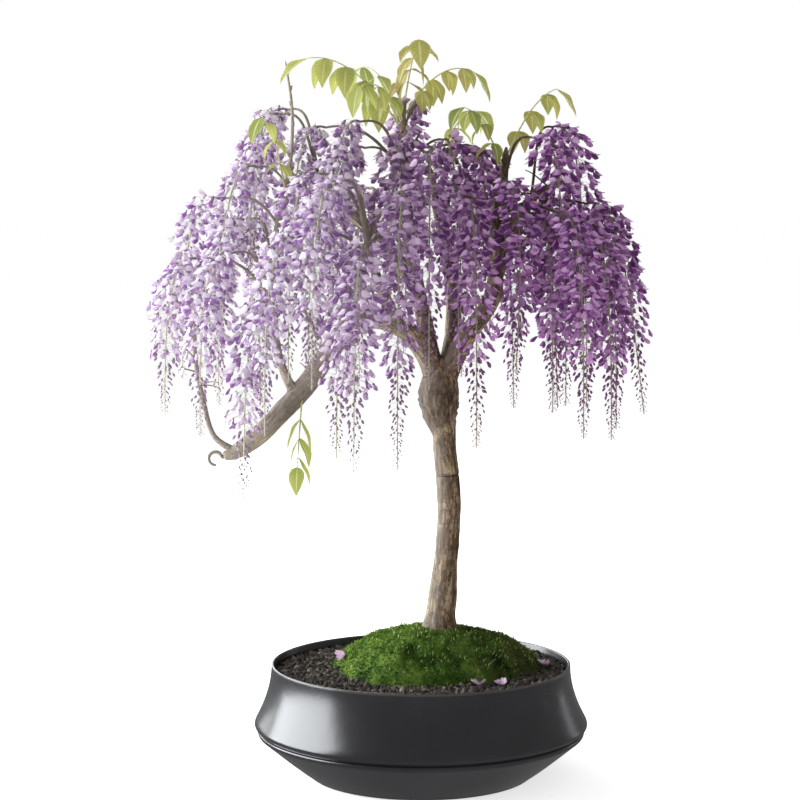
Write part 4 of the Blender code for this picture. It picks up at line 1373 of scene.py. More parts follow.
@dataclass
class Ground(Grown):
    """The soil's own surface and the loose granules on it."""

    radius: float = 0.1925
    granules: int = 4600
    forms: int = 5
    pale_share: float = 0.06
    seed: int = 9

    def granule(self) -> Template:
        """One angular granule, longer than wide.

        Returns:
            The granule.
        """
        golden = (1.0 + math.sqrt(5.0)) / 2.0
        points = np.array([
            (-1, golden, 0), (1, golden, 0), (-1, -golden, 0), (1, -golden, 0),
            (0, -1, golden), (0, 1, golden), (0, -1, -golden), (0, 1, -golden),
            (golden, 0, -1), (golden, 0, 1), (-golden, 0, -1), (-golden, 0, 1),
        ], float)
        points = unit(points) * self.draw.uniform(0.72, 1.15, (12, 1)) * (1.55, 0.85, 0.62)
        tris = np.array([
            (0, 11, 5), (0, 5, 1), (0, 1, 7), (0, 7, 10), (0, 10, 11), (1, 5, 9), (5, 11, 4),
            (11, 10, 2), (10, 7, 6), (7, 1, 8), (3, 9, 4), (3, 4, 2), (3, 2, 6), (3, 6, 8),
            (3, 8, 9), (4, 9, 5), (2, 4, 11), (6, 2, 10), (8, 6, 7), (9, 8, 1),
        ])
        return Template(points, NO_QUADS, tris, np.zeros((12, 4)))

    def build(self, moss: Moss) -> None:
        """Dress the soil and scatter its granules.

        Args:
            moss: the mound, which most granules stay clear of.
        """
        soil = frame["nodes"]["soil"]
        bare = SoilFinish().build("soil_surface", False)
        for slot in soil.material_slots:
            slot.material = bare
        self.start(self.seed)
        draw = self.draw
        surface = node_surface("soil")
        places = []
        while len(places) < self.granules:
            x, y = draw.uniform(-self.radius, self.radius, 2)
            if math.hypot(x, y) > self.radius:
                continue
            share = float(moss.share_of(np.array(x), np.array(y)))
            if share < 0.88 or (share < 1.0 and draw.random() < 0.55):
                continue
            hit = surface.ray_cast(Vector((x, y, 1.0)), Vector((0.0, 0.0, -1.0)))[0]
            if hit:
                places.append((x, y, hit.z))
        places = np.array(places)
        size = draw.gamma(5.0, 0.00038, len(places)) + 0.0006
        places[:, 2] += 0.25 * size + draw.uniform(0.0, 0.0008, len(places))
        forms = draw.integers(0, self.forms, len(places))
        for form in range(self.forms):
            chosen = forms == form
            count = int(chosen.sum())
            axes = np.linalg.qr(draw.normal(size=(count, 3, 3)))[0]
            shape = self.granule()
            turns = axes * size[chosen][:, None, None]
            self.maker.scatter(shape, turns, places[chosen], draw.random(count), np.zeros(count))
            tints = self.maker.last_tints()
            pale = (draw.random(count) < self.pale_share) * draw.uniform(0.3, 0.9, count)
            tints[:, 2] = np.repeat(pale, len(shape.points))
            tints[:, 0] = np.repeat(draw.random(count) ** 1.7 * 1.5, len(shape.points))
        loose = SoilFinish().build("soil_granules", True)
        install(self.maker.build("soil_granules", loose, smooth=False), "soil")


# Wood


@dataclass
class Wood(Grown):
    """The trunk, its limbs and its twigs."""

    voxel: float = 0.0019
    skin_sides: int = 22
    thick: float = 0.0052
    # How much more painted light the sides that face the left get, and how much less those that face
    # the right get
    side_light: float = 0.42
    bark_depth: float = 0.0011
    stalk_radius: float = 0.0015
    hook_radius: float = 0.0085
    hook_wood: float = 0.0026
    trunk_x: float = 0.03
    trunk_reach: float = 0.034
    ring_width: float = 0.0018
    knuckle_width: float = 0.030
    flare_top: float = 0.225
    flare_height: float = 0.035
    flare_depth: float = 0.0022
    side_twig_count: int = 4
    twig_seed: int = 31
    limbs: dict[str, np.ndarray] = field(init=False)

    def fine_limbs(self) -> dict[str, np.ndarray]:
        """Every limb and the trunk as closely spaced rows.

        Returns:
            Rows of (x, y, z, radius) by name.
        """
        rows = {"trunk": smooth_path(TRUNK, 90)}
        for name, points in LIMBS.items():
            rows[name] = smooth_path(points, 14 * len(points))
        return rows

    def hook(self) -> np.ndarray:
        """The small dry hook of an old tendril at the left limb's end.

        Returns:
            Rows of (x, y, z, radius).
        """
        rows = [(-0.2520, -0.0535, 0.4355, self.hook_wood)]
        for i in range(19):
            angle = math.radians(10 + 14.7 * i)
            rows.append((
                -0.2690 + self.hook_radius * math.cos(angle),
                -0.0540 + self.hook_radius * 0.15 * math.sin(angle),
                0.4310 + self.hook_radius * math.sin(angle), self.hook_wood * (1.0 - 0.014 * i),
            ))
        return np.array(rows)

    def twig(self, base: np.ndarray, out: np.ndarray) -> np.ndarray:
        """A twig that arches from a limb to a raceme's top.

        Args:
            base: the raceme's top.
            out: the level direction that it points in.

        Returns:
            Rows along it as (x, y, z, radius).
        """
        limbs = np.vstack([smooth_path(points, LIMB_SAMPLES)[2:] for points in LIMBS.values()])
        aim = base - 0.080 * out - 0.060 * UP
        fit = limbs[
            (limbs[:, 2] < base[2] - 0.015) & (np.linalg.norm(limbs[:, :3] - base, axis=1) > 0.030)
        ]
        root = fit[np.argmin(np.linalg.norm(fit[:, :3] - aim, axis=1))]
        start = root[:3]
        span = float(np.linalg.norm(base - start))
        lift = start + 0.35 * (base - start) + 0.30 * span * UP
        near = base - 0.30 * span * out + 0.06 * span * UP
        thick = 0.64 * min(0.0040, 0.75 * root[3], 0.0020 + 0.016 * span)
        centres = cubic(start, lift, near, base, 18)
        radii = thick + (self.stalk_radius - thick) * np.linspace(0.0, 1.0, 18)
        return np.c_[centres, radii]

    def skin(self, material: bpy.types.Material) -> bpy.types.Mesh:
        """The trunk and the thick limbs, melted into one skin.

        Args:
            material: the bark.

        Returns:
            The skin's mesh.
        """
        maker = MeshMaker()
        for rows in self.limbs.values():
            thick = rows[: max(2, int((rows[:, 3] > self.thick).sum()))]
            if thick[0, 3] > self.thick:
                add_stem(maker, thick, self.skin_sides, (1.0, 0.0, 0.0, 0.0))
        rough = maker.build("rough_wood", material)
        melt = rough.modifiers.new("Melt", "REMESH")
        melt.mode = "VOXEL"
        melt.voxel_size = self.voxel
        calm = rough.modifiers.new("Calm", "SMOOTH")
        calm.factor = 0.5
        calm.iterations = 3
        graph = bpy.context.evaluated_depsgraph_get()
        graph.update()
        mesh = bpy.data.meshes.new_from_object(rough.evaluated_get(graph))
        bpy.data.objects.remove(rough, do_unlink=True)
        return mesh

    def grain_at(self, points: np.ndarray) -> np.ndarray:
        """Where points of the skin lie on their nearest limb.

        Args:
            points: points of the skin.

        Returns:
            How far each lies across, over and along its limb.
        """
        limbs = list(self.limbs.values())
        rows = np.vstack(limbs)
        _, sides, overs = (np.vstack(part) for part in zip(*(stem_frames(a[:, :3]) for a in limbs)))
        far = np.concatenate([travelled(a[:, :3]) + 1.7 * i for i, a in enumerate(limbs)])
        grain = np.zeros_like(points)
        for block in range(0, len(points), BLOCK):
            part = points[block : block + BLOCK]
            gap = np.linalg.norm(part[:, None] - rows[None, :, :3], axis=2) - rows[None, :, 3]
            near = gap.argmin(axis=1)
            spoke = part - rows[near, :3]
            grain[block : block + BLOCK] = np.stack([
                np.einsum("ij,ij->i", spoke, sides[near]),
                np.einsum("ij,ij->i", spoke, overs[near]), far[near],
            ], axis=-1)
        return grain

    def raised(self, points: np.ndarray, grain: np.ndarray) -> np.ndarray:
        """How far the bark stands out: ridges, the ring, the knuckle's burrs and the root flare.

        Args:
            points: points of the skin.
            grain: where they lie on their limbs.

        Returns:
            The height of each point.
        """
        relief = np.array([
            noise.noise(Vector((g[0] * 150.0, g[1] * 150.0, g[2] * 22.0)))
            + 0.6 * noise.noise(Vector((g[0] * 330.0, g[1] * 330.0, g[2] * 60.0)))
            for g in grain
        ])
        height = points[:, 2]
        on_trunk = np.hypot(points[:, 0] - self.trunk_x, points[:, 1]) < self.trunk_reach
        ring = -0.8 * np.exp(-((height - RING_Z) / self.ring_width) ** 2)
        relief += np.where(on_trunk, ring, 0.0)
        knuckle = np.exp(-((height - KNUCKLE_Z) / self.knuckle_width) ** 2) * on_trunk
        burrs = np.array([
            1.0 - 2.4 * abs(noise.noise(Vector(p) * 95.0)) + 0.7 * noise.noise(Vector(p) * 210.0)
            for p in points
        ])
        relief += 1.7 * knuckle * burrs
        flare = np.clip((self.flare_top - height) / self.flare_height, 0.0, 1.0) * on_trunk
        angle = np.arctan2(points[:, 1], points[:, 0] - TRUNK[0][0])
        roots = flare**2 * (self.flare_depth + self.flare_depth * np.sin(4.0 * angle + 0.6))
        return self.bark_depth * relief + roots

    def add_skin(self, mesh: bpy.types.Mesh) -> None:
        """Add the skin, raised into bark along the grain of each limb.

        Args:
            mesh: the plain skin.
        """
        points = values_of(mesh.vertices, "co", 3).astype(float)
        normals = values_of(mesh.vertices, "normal", 3)
        grain = self.grain_at(points)
        points = points + normals * self.raised(points, grain)[:, None]
        sizes = values_of(mesh.polygons, "loop_total")
        starts = values_of(mesh.polygons, "loop_start")
        corners = values_of(mesh.loops, "vertex_index")
        quads, tris = (
            corners[starts[sizes == size][:, None] + np.arange(size)] for size in (4, 3)
        )
        # Painted light: more towards the left of the crown and on sides that face the left, less on
        # those that face the right
        lit = sun_share(points[:, 0]) - self.side_light * normals[:, 0]
        tints = np.zeros((len(points), 4))
        tints[:, 0] = 1.0
        tints[:, 3] = np.clip(lit, 0.0, 1.0)
        self.maker.add(points, tints, quads, tris, grain)

    def side_twigs(self) -> list[np.ndarray]:
        """Short bare twigs along the thinner limbs, and buds on the shoot.

        Returns:
            Rows of (x, y, z, radius) for each twig.
        """
        draw = random.Random(self.twig_seed)
        made = []
        shoot = self.limbs["shoot"]
        for share in (0.30, 0.52, 0.68, 0.82, 0.93):
            start = shoot[int(share * len(shoot)), :3]
            aim = np.array([draw.uniform(-1, 1), draw.uniform(-0.5, 0.5), 1.2])
            end = start + draw.uniform(0.007, 0.012) * unit(aim)
            centres = cubic(start, start, 0.5 * (start + end), end, 6)
            made.append(np.c_[centres, (0.0012, 0.0018, 0.0024, 0.0022, 0.0014, 0.0004)])
        for name in ("left", "left_riser", "far_left", "left_top", "right_out", "front"):
            rows = self.limbs[name]
            for _ in range(self.side_twig_count):
                place = draw.randrange(len(rows) // 2, len(rows) - 2)
                start = rows[place, :3]
                aim = [draw.uniform(-1, 1), draw.uniform(-0.8, 0.8), draw.uniform(-0.3, 0.9)]
                aim = unit(np.array(aim)) * draw.uniform(0.018, 0.042)
                bend = start + 0.6 * aim + np.array((0.0, 0.0, 0.005))
                centres = cubic(start, start + 0.3 * aim, bend, start + aim, 7)
                made.append(np.c_[centres, np.linspace(0.0014, 0.0006, 7)])
        return made

    def add_wood(self, rows: np.ndarray, sides: int, age: float, wobble: float = 0.0) -> None:
        """Add a stem of wood, whose tint holds its age."""
        add_stem(self.maker, rows, sides, (age, 0.0, 0.0, 0.0), wobble)

    def build(self, racemes: Sequence["Raceme"]) -> None:
        """Grow the whole tree.

        Args:
            racemes: the racemes whose twigs it carries.
        """
        material = BarkFinish().build()
        self.limbs = self.fine_limbs()
        self.start(self.twig_seed)
        self.add_skin(self.skin(material))
        for name, rows in self.limbs.items():
            thin = rows[rows[:, 3] < self.thick * 1.15]
            if name != "trunk" and len(thin) > 2:
                ahead = unit(thin[-1, :3] - thin[-2, :3])
                middle, tip = (
                    np.append(thin[-1, :3] + step * ahead, share * thin[-1, 3])
                    for step, share in ((0.005, 0.75), (0.010, 0.3))
                )
                thin = np.vstack([thin, middle, tip])
                thin[:, 3] *= 0.98
                self.add_wood(thin, 10, 0.55, 0.05)
        self.add_wood(self.hook(), 8, 0.25)
        for raceme in racemes:
            self.add_wood(self.twig(raceme.base, raceme.out), 7, 0.18, 0.07)
        for rows in self.side_twigs():
            self.add_wood(rows, 5, 0.10)
        install(self.maker.build("trunk_and_twigs", material), "bark", "tree")


# Flowers


class Stage(Enum):
    """How far a flower has opened."""

    OPEN = "open"
    OPENING = "opening"
    BUD = "bud"


def petal_sheet(
    columns: int, widths: Sequence[float], stand: Sequence[float], along: Sequence[float],
    wrap: float, tones: tuple[float, float],
) -> Template:
    """A petal as a curved sheet.

    Args:
        columns: points across.
        widths: its half width at each row.
        stand: how far each row stands forward.
        along: how far along the flower each row lies.
        wrap: how far its edges bend back round the flower, as a share of the width.
        tones: the tint in its middle and at its edge.

    Returns:
        The petal, along +Z from the origin.
    """
    across = np.linspace(-1.0, 1.0, columns)[None]
    width = np.array(widths)[:, None]
    points = np.zeros((len(widths), columns, 3))
    points[:, :, 0] = across * width
    fold = (0.34 * np.abs(across) - wrap * across**2) * width
    points[:, :, 1] = np.array(stand)[:, None] + fold
    points[:, :, 2] = np.array(along)[:, None] - 0.05 * across**2
    tints = np.zeros((len(widths), columns, 4))
    edge = 0.55 * np.abs(across) + 0.45 * np.linspace(0.0, 1.0, len(widths))[:, None]
    tints[:, :, 0] = tones[0] + (tones[1] - tones[0]) * edge
    faces = grid_quads(len(widths), columns)
    return Template(points.reshape(-1, 3), faces, NO_TRIS, tints.reshape(-1, 4))


def joined(*shapes: Template) -> Template:
    """Several small shapes as one.

    Args:
        shapes: the shapes.

    Returns:
        One shape.
    """
    firsts = np.cumsum([0] + [len(shape.points) for shape in shapes])
    return Template(
        np.vstack([shape.points for shape in shapes]),
        np.vstack([shape.quads + first for shape, first in zip(shapes, firsts)]),
        np.vstack([shape.tris + first for shape, first in zip(shapes, firsts)]),
        np.vstack([shape.tints for shape in shapes]),
    )


def round_pod(
    radii: Sequence[float], heights: Sequence[float], sides: int, tones: Sequence[float],
    greens: Sequence[float], bend: Sequence[float] | None = None, depth: float = 1.0,
) -> Template:
    """A small round body about +Z that ends in a point, such as a bud or a keel.

    Args:
        radii: its radius at each ring. The last ring is its point.
        heights: each ring's height.
        sides: how many sides it has.
        tones: the tint's tone at each ring.
        greens: the tint's green share at each ring.
        bend: how far each ring stands forward.
        depth: how deep it is against its width.

    Returns:
        The body.
    """
    angles = (np.arange(sides) + 0.5) * 2.0 * math.pi / sides
    rings = len(radii) - 1
    wide = np.array(radii)[:-1, None]
    ahead = np.zeros(len(radii)) if bend is None else np.array(bend)
    points = np.zeros((rings, sides, 3))
    points[:, :, 0] = wide * np.cos(angles)[None]
    points[:, :, 1] = depth * wide * np.sin(angles)[None] + ahead[:-1, None]
    points[:, :, 2] = np.array(heights)[:-1, None]
    point = np.array([(0.0, ahead[-1], heights[-1])])
    tints = np.zeros((rings * sides + 1, 4))
    tints[:, 0] = np.r_[np.repeat(tones[:-1], sides), tones[-1]]
    tints[:, 2] = np.r_[np.repeat(greens[:-1], sides), greens[-1]]
    turn = np.arange(sides)
    last = (rings - 1) * sides
    ends = np.stack([last + turn, last + (turn + 1) % sides, np.full(sides, rings * sides)], axis=-1)
    return Template(
        np.vstack([points.reshape(-1, 3), point]), grid_quads(rings, sides, True), ends, tints
    )


@dataclass
class Floret:
    """One flower of a raceme, of length 1, from its calyx along +Z with its banner to +Y."""

    stage: Stage

    def bud(self) -> Template:
        """The closed bud.

        Returns:
            The bud.
        """
        return round_pod(
            radii=(0.08, 0.22, 0.27, 0.05), heights=(0.0, 0.14, 0.60, 1.0), sides=4,
            tones=(0.10, 0.06, 0.10, 0.22), greens=(0.9, 0.40, 0.26, 0.10),
            bend=(0.0, 0.0, 0.03, 0.12),
        )

    def calyx(self) -> Template:
        """The small cup that the petals stand in.

        Returns:
            The cup.
        """
        return round_pod(
            radii=(0.05, 0.15, 0.02), heights=(-0.02, 0.13, 0.26), sides=4,
            tones=(0.1, 0.1, 0.2), greens=(0.5, 0.34, 0.2),
        )

    def banner(self) -> Template:
        """The upper petal, which folds back as the flower opens.

        Returns:
            The petal.
        """
        if self.stage is Stage.OPENING:
            return petal_sheet(
                columns=4, widths=(0.12, 0.27, 0.32, 0.16), stand=(0.10, 0.18, 0.20, 0.12),
                along=(0.10, 0.42, 0.76, 0.97), wrap=0.80, tones=(0.62, 0.30),
            )
        return petal_sheet(
            columns=5, widths=(0.12, 0.35, 0.43, 0.30), stand=(0.07, 0.20, 0.31, 0.48),
            along=(0.10, 0.38, 0.68, 0.90), wrap=0.66, tones=(1.05, 0.26),
        )

    def keel(self) -> Template:
        """The lower petals, closed round the flower's inside.

        Returns:
            The petals.
        """
        if self.stage is Stage.OPENING:
            return round_pod(
                radii=(0.09, 0.19, 0.03), heights=(0.14, 0.62, 0.96), sides=4,
                tones=(0.32, 0.12, 0.03), greens=(0.0,) * 3, bend=(-0.03, -0.06, 0.0), depth=1.1,
            )
        return round_pod(
            radii=(0.10, 0.22, 0.21, 0.04), heights=(0.14, 0.46, 0.80, 1.02), sides=5,
            tones=(0.36, 0.22, 0.07, 0.0), greens=(0.0,) * 4, bend=(-0.02, -0.07, -0.06, 0.02),
            depth=1.15,
        )

    def shape(self) -> Template:
        """The flower's mesh.

        Returns:
            The mesh.
        """
        if self.stage is Stage.BUD:
            return self.bud()
        return joined(self.calyx(), self.banner(), self.keel())


@dataclass
class Raceme(Grown):
    """One hanging raceme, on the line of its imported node."""

    node: str
    base: np.ndarray
    out: np.ndarray
    tip: np.ndarray
    reach: float
    seed: int
    open_share: float = 0.66
    open_reach: float = 0.0285
    bud_reach: float = 0.0145
    tip_reach: float = 0.0042
    floret_step: float = 0.00122
    bud_step: float = 0.00150
    floret_length: float = 0.0134
    bud_length: float = 0.0066
    opening_share: float = 0.20
    opening_size: float = 0.84
    bare_top: float = 0.010
    bare_tip: float = 0.002
    stem_radius: float = 0.0017
    tip_radius: float = 0.0007
    pedicel: float = 0.00030
    bud_pedicel: float = 0.00026
    shortest_pedicel: float = 0.0022

    @classmethod
    def on_node(cls, node: str, reach: float, seed: int, wood: BVHTree) -> "Raceme":
        """Read a raceme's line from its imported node.

        Args:
            node: the node's name.
            reach: how far its hanging line stands out from its twig's end.
            seed: the seed of its own draws.
            wood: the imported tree's surface.

        Returns:
            The raceme.
        """
        points = node_points(node)
        gaps = [wood.find_nearest(Vector(p))[3] for p in points]
        base = points[int(np.argmin(gaps))].astype(float)
        tip = points[int(np.argmin(points[:, 2]))].astype(float)
        return cls(node, base, outward(base[0], base[1]), tip, reach, seed)

    def centres(self) -> np.ndarray:
        """Points along its line: it arches out of its twig and then hangs.

        Returns:
            One point a row.
        """
        drop = self.base[2] - self.tip[2]
        over = self.base + 0.70 * self.reach * self.out + 0.012 * UP
        turn = self.base + self.reach * self.out - 0.22 * drop * UP
        return cubic(self.base, over, turn, self.tip, 121)

    def place(self, distances: np.ndarray) -> tuple[np.ndarray, np.ndarray]:
        """Points and headings at distances along the line.

        Args:
            distances: how far along.

        Returns:
            The points and the headings.
        """
        line = self.centres()
        far = travelled(line)
        headings = read_at(distances, far, unit(np.gradient(line, axis=0)))
        return read_at(distances, far, line), unit(headings)

    def length(self) -> float:
        """The line's length."""
        return float(np.linalg.norm(np.diff(self.centres(), axis=0), axis=1).sum())

    def half_width(self, share: np.ndarray) -> np.ndarray:
        """The raceme's half width.

        Args:
            share: shares of its length.

        Returns:
            The half width at each.
        """
        upper = self.open_reach * np.minimum(1.0, 0.70 + 1.6 * share) * (1.0 - 0.22 * share)
        down = (share - self.open_share) / (1.0 - self.open_share)
        lower = self.bud_reach + (self.tip_reach - self.bud_reach) * down
        blend = np.clip((share - self.open_share + 0.05) / 0.10, 0.0, 1.0)
        return upper * (1.0 - blend) + lower * blend

    def spokes(self, heading: np.ndarray) -> np.ndarray:
        """Directions out of the stem, each turned by the golden angle from the last.

        Args:
            heading: the stem's direction at each.

        Returns:
            The directions.
        """
        count = len(heading)
        across = np.array((-self.out[1], self.out[0], 0.0))
        side = np.cross(heading, across)
        angles = np.arange(count) * GOLDEN_ANGLE + self.draw.normal(0.0, 0.25, count) + self.seed
        return np.cos(angles)[:, None] * across + np.sin(angles)[:, None] * side

    def add_pedicels(self, starts: np.ndarray, ends: np.ndarray, radius: float) -> None:
        """Add the fine stalks that carry the flowers.

        Args:
            starts: where each leaves the stem.
            ends: where each meets its flower.
            radius: their radius.
        """
        span = np.linalg.norm(ends - starts, axis=1, keepdims=True)
        middles = 0.5 * (starts + ends) + 0.24 * span * UP
        rings = np.stack([starts, middles, ends], axis=1)
        aim = unit(ends - starts)
        side = unit(np.cross(aim, self.draw.normal(size=aim.shape)))
        spokes = spokes_at(np.arange(3) * 2.0 * math.pi / 3.0, side, np.cross(aim, side))
        points = rings[:, :, None] + radius * spokes[:, None]
        tints = np.zeros((len(starts), 9, 4))
        tints[:, :, 0] = 0.3
        tints[:, :, 2] = np.repeat((0.95, 0.80, 0.62), 3)[None]
        # Painted light: each stalk's share of the lit colour, by how far left it starts
        tints[:, :, 3] = sun_share(starts[:, 0])[:, None]
        quads = repeated(grid_quads(3, 3, True), len(starts), 9)
        self.maker.add(points.reshape(-1, 3), tints.reshape(-1, 4), quads)

    def add_flowers(self, stage: Stage, distances: np.ndarray) -> None:
        """Add flowers of one stage at distances along the stem.

        Args:
            stage: how far they have opened.
            distances: where they leave the stem.
        """
        draw = self.draw
        count = len(distances)
        share = distances / self.length()
        centre, heading = self.place(distances)
        spoke = self.spokes(heading)
        bud = stage is Stage.BUD
        size = (self.bud_length if bud else self.floret_length) * draw.uniform(0.84, 1.10, count)
        if bud:
            down = (share - self.open_share) / (1.0 - self.open_share)
            size *= np.clip(1.25 - 0.95 * down, 0.3, 1.2)
        elif stage is Stage.OPENING:
            size *= self.opening_size
        wide = self.half_width(share) * draw.uniform(0.55, 1.16, count)
        lean = draw.uniform(0.25, 0.75, count) if bud else draw.uniform(0.30, 1.25, count)
        axis = unit(lean[:, None] * spoke - UP + 0.16 * draw.normal(size=(count, 3)))
        level = spoke * np.array((1.0, 1.0, 0.35))
        pedicel = wide - 0.72 * size * np.linalg.norm(axis[:, :2], axis=1)
        pedicel = np.maximum(pedicel, self.shortest_pedicel)
        drop = draw.uniform(-0.25, 0.30, count) * pedicel
        start = centre + 0.0008 * spoke
        end = centre + pedicel[:, None] * level - drop[:, None] * UP
        self.add_pedicels(start, end, self.bud_pedicel if bud else self.pedicel)
        front = unit(spoke + 0.45 * UP + 0.35 * draw.normal(size=(count, 3)))
        front = unit(front - axis * np.einsum("ij,ij->i", front, axis)[:, None])
        side = np.cross(front, axis)
        turns = np.stack([side, front, axis], axis=-1) * size[:, None, None]
        shape = Floret(stage).shape()
        # The last value is each flower's share of painted light, by how far left it lies
        self.maker.scatter(shape, turns, end, draw.random(count), sun_share(end[:, 0]))

    def add_stem(self) -> None:
        """Add the raceme's own stem, brown-green above and pale green at its tip."""
        sides = 5
        line = self.centres()[::3]
        share = np.linspace(0.0, 1.0, len(line))
        radii = self.stem_radius - (self.stem_radius - self.tip_radius) * share
        add_stem(self.maker, np.c_[line, radii], sides, (0.1, 0.5, 1.0, 0.0))
        tints = self.maker.last_tints()
        green = 0.50 + 0.5 * np.clip(share * 2.2, 0.0, 1.0)
        tints[:, 2] = np.r_[np.repeat(green, sides), 0.5, 1.0]
        # Painted light: the stem's share of the lit colour, by how far left each point lies
        tints[:, 3] = sun_share(self.maker.points[-1][:, 0])

    def build(self, material: bpy.types.Material) -> None:
        """Make the raceme.

        Args:
            material: the flowers' finish.
        """
        self.start(RACEME_SEED + self.seed)
        self.add_stem()
        length = self.length()
        last_open = self.open_share * length
        opening = last_open - self.opening_share * length
        for stage, first, last, step in (
            (Stage.OPEN, self.bare_top, opening, self.floret_step),
            (Stage.OPENING, opening, last_open, self.floret_step),
            (Stage.BUD, last_open, length - self.bare_tip, self.bud_step),
        ):
            self.add_flowers(stage, np.arange(first, last, step))
        install(self.maker.build("fine_" + self.node, material), SLOTS[self.node], self.node)


# Leaves


class LeafTone(Enum):
    """A leaf's colour, by the record's slot."""

    GREEN = "leaf_green"
    BRONZE = "leaf_bronze"


@dataclass
class Leaf(Grown):
    """One compound leaf, from a point along a limb to its tip."""

    limb: str
    along: float
    tip: tuple[float, float, float]
    rise: float
    pairs: int
    leaflet: float
    tone: LeafTone
    rows: int = 15
    columns: int = 9
    broadness: float = 0.245
    thickest_rib: float = 0.00125
    thinnest_rib: float = 0.00055

    def rib(self, wood: BVHTree) -> np.ndarray:
        """Points along the leaf's rib, which starts at the wood.

        Args:
            wood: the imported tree's surface.

        Returns:
            One point a row.
        """
        rows = smooth_path(LIMBS[self.limb], LIMB_SAMPLES)
        place = self.along * (len(rows) - 1)
        k = min(int(place), len(rows) - 2)
        centre = (rows[k] + (rows[k + 1] - rows[k]) * (place - k))[:3]
        tip = np.array(self.tip)
        aim = unit(tip + 0.8 * self.rise * UP - centre)
        surface = wood.ray_cast(Vector(centre), Vector(aim))[0]
        start = np.array(surface) if surface else centre
        middle = 0.5 * (start + tip) + self.rise * UP
        return cubic(start, start + 0.7 * (middle - start), middle + 0.4 * (tip - middle), tip, 41)

    def add_leaflet(
        self, root: np.ndarray, out: np.ndarray, heading: np.ndarray, size: float
    ) -> None:
        """Add a drooping ovate leaflet with a drawn-out tip.

        Args:
            root: where it leaves the rib.
            out: the direction away from the rib.
            heading: the rib's own direction.
            size: its length.
        """
        draw = self.draw
        rows, columns = self.rows, self.columns
        aim = unit(out + 0.55 * heading + 0.10 * draw.normal(size=3))
        side = unit(np.cross(aim, UP))
        along = np.linspace(0.0, 1.0, rows)
        fall = draw.uniform(0.45, 0.80) + draw.uniform(0.55, 0.95) * along
        step = np.gradient(along) * size
        ahead = np.cumsum(np.cos(fall) * step) - np.cos(fall[0]) * step[0]
        down = np.cumsum(np.sin(fall) * step) - np.sin(fall[0]) * step[0]
        width = self.broadness * size * np.sin(math.pi * along**0.80) ** 0.95 * (1.10 - 0.30 * along)
        width[0] = 0.0006
        across = np.linspace(-1.0, 1.0, columns)
        lift = np.sin(fall)[:, None] * aim + np.cos(fall)[:, None] * UP
        fold = draw.uniform(0.10, 0.30)
        wave = 0.09 * np.sin(along * 11.0 + draw.uniform(0, 6))[:, None] * across[None] ** 2
        stand = (fold * across[None] ** 2 + wave) * width[:, None]
        centre = root + ahead[:, None] * aim - down[:, None] * UP
        points = (
            centre[:, None] + (across[None] * width[:, None])[:, :, None] * side
            + stand[:, :, None] * lift[:, None]
        )
        tints = np.zeros((rows, columns, 4))
        tints[:, :, 0] = np.abs(across)[None]
        tints[:, :, 1] = along[:, None]
        tints[:, :, 2] = draw.random()
        bronze = 0.75 if self.tone is LeafTone.BRONZE else 0.18
        tints[:, :, 3] = np.clip(bronze + draw.normal(0.0, 0.16), 0.0, 1.0)
        self.maker.add_grid(points, tints)

    def build(self, number: int, wood: BVHTree, material: bpy.types.Material) -> None:
        """Make the leaf.

        Args:
            number: its number, from 1.
            wood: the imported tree's surface.
            material: its finish.
        """
        self.start(LEAF_SEED + number)
        rib = self.rib(wood)
        radii = np.linspace(self.thickest_rib, self.thinnest_rib, len(rib))
        # add_stem puts the painted-light share into the rib's fourth tint, which the leaves' finish
        # reads as bronze
        add_stem(self.maker, np.c_[rib, radii], 6, (0.0, 0.5, 0.7, 0.3))
        far = travelled(rib)
        heads = unit(np.gradient(rib, axis=0))
        level = unit(np.array((rib[-1, 0] - rib[0, 0], rib[-1, 1] - rib[0, 1], 0.0)))
        across = np.cross(UP, level)
        for i, joint in enumerate(np.linspace(0.30, 0.86, self.pairs) * far[-1]):
            root = read_at(joint, far, rib)
            heading = unit(read_at(joint, far, heads))
            for out in (across, -across):
                size = self.leaflet * (0.94 - 0.10 * i / self.pairs)
                self.add_leaflet(root, out, heading, size * self.draw.uniform(0.9, 1.06))
        end = unit(heads[-1] * (1, 1, 0))
        self.add_leaflet(rib[-1], end, np.zeros(3), self.leaflet)
        piece = self.maker.build(f"fine_leaf_{number:02d}", material)
        install(piece, self.tone.value, f"leaf_{number:02d}")


LEAVES = (
    Leaf("centre", 0.84, (-0.146, -0.034, 0.950), 0.055, 4, 0.060, LeafTone.GREEN),
    Leaf("centre", 1.00, (-0.004, -0.060, 0.972), 0.020, 4, 0.058, LeafTone.BRONZE),
    Leaf("centre", 0.93, (0.070, 0.030, 0.935), 0.050, 4, 0.046, LeafTone.BRONZE),
    Leaf("centre", 0.90, (-0.080, -0.150, 0.908), 0.040, 3, 0.044, LeafTone.GREEN),
    Leaf("centre", 0.87, (-0.090, 0.104, 0.940), 0.062, 3, 0.046, LeafTone.GREEN),
    Leaf("right", 0.93, (0.052, -0.085, 0.885), 0.035, 3, 0.042, LeafTone.GREEN),
    Leaf("right", 0.98, (0.178, 0.004, 0.912), 0.035, 3, 0.048, LeafTone.BRONZE),
    Leaf("left_riser", 0.97, (-0.205, -0.085, 0.872), 0.045, 3, 0.042, LeafTone.GREEN),
    Leaf("left", 0.62, (-0.160, -0.100, 0.425), 0.010, 3, 0.044, LeafTone.GREEN),
    Leaf("back", 0.98, (0.080, 0.205, 0.890), 0.050, 3, 0.050, LeafTone.GREEN),
)


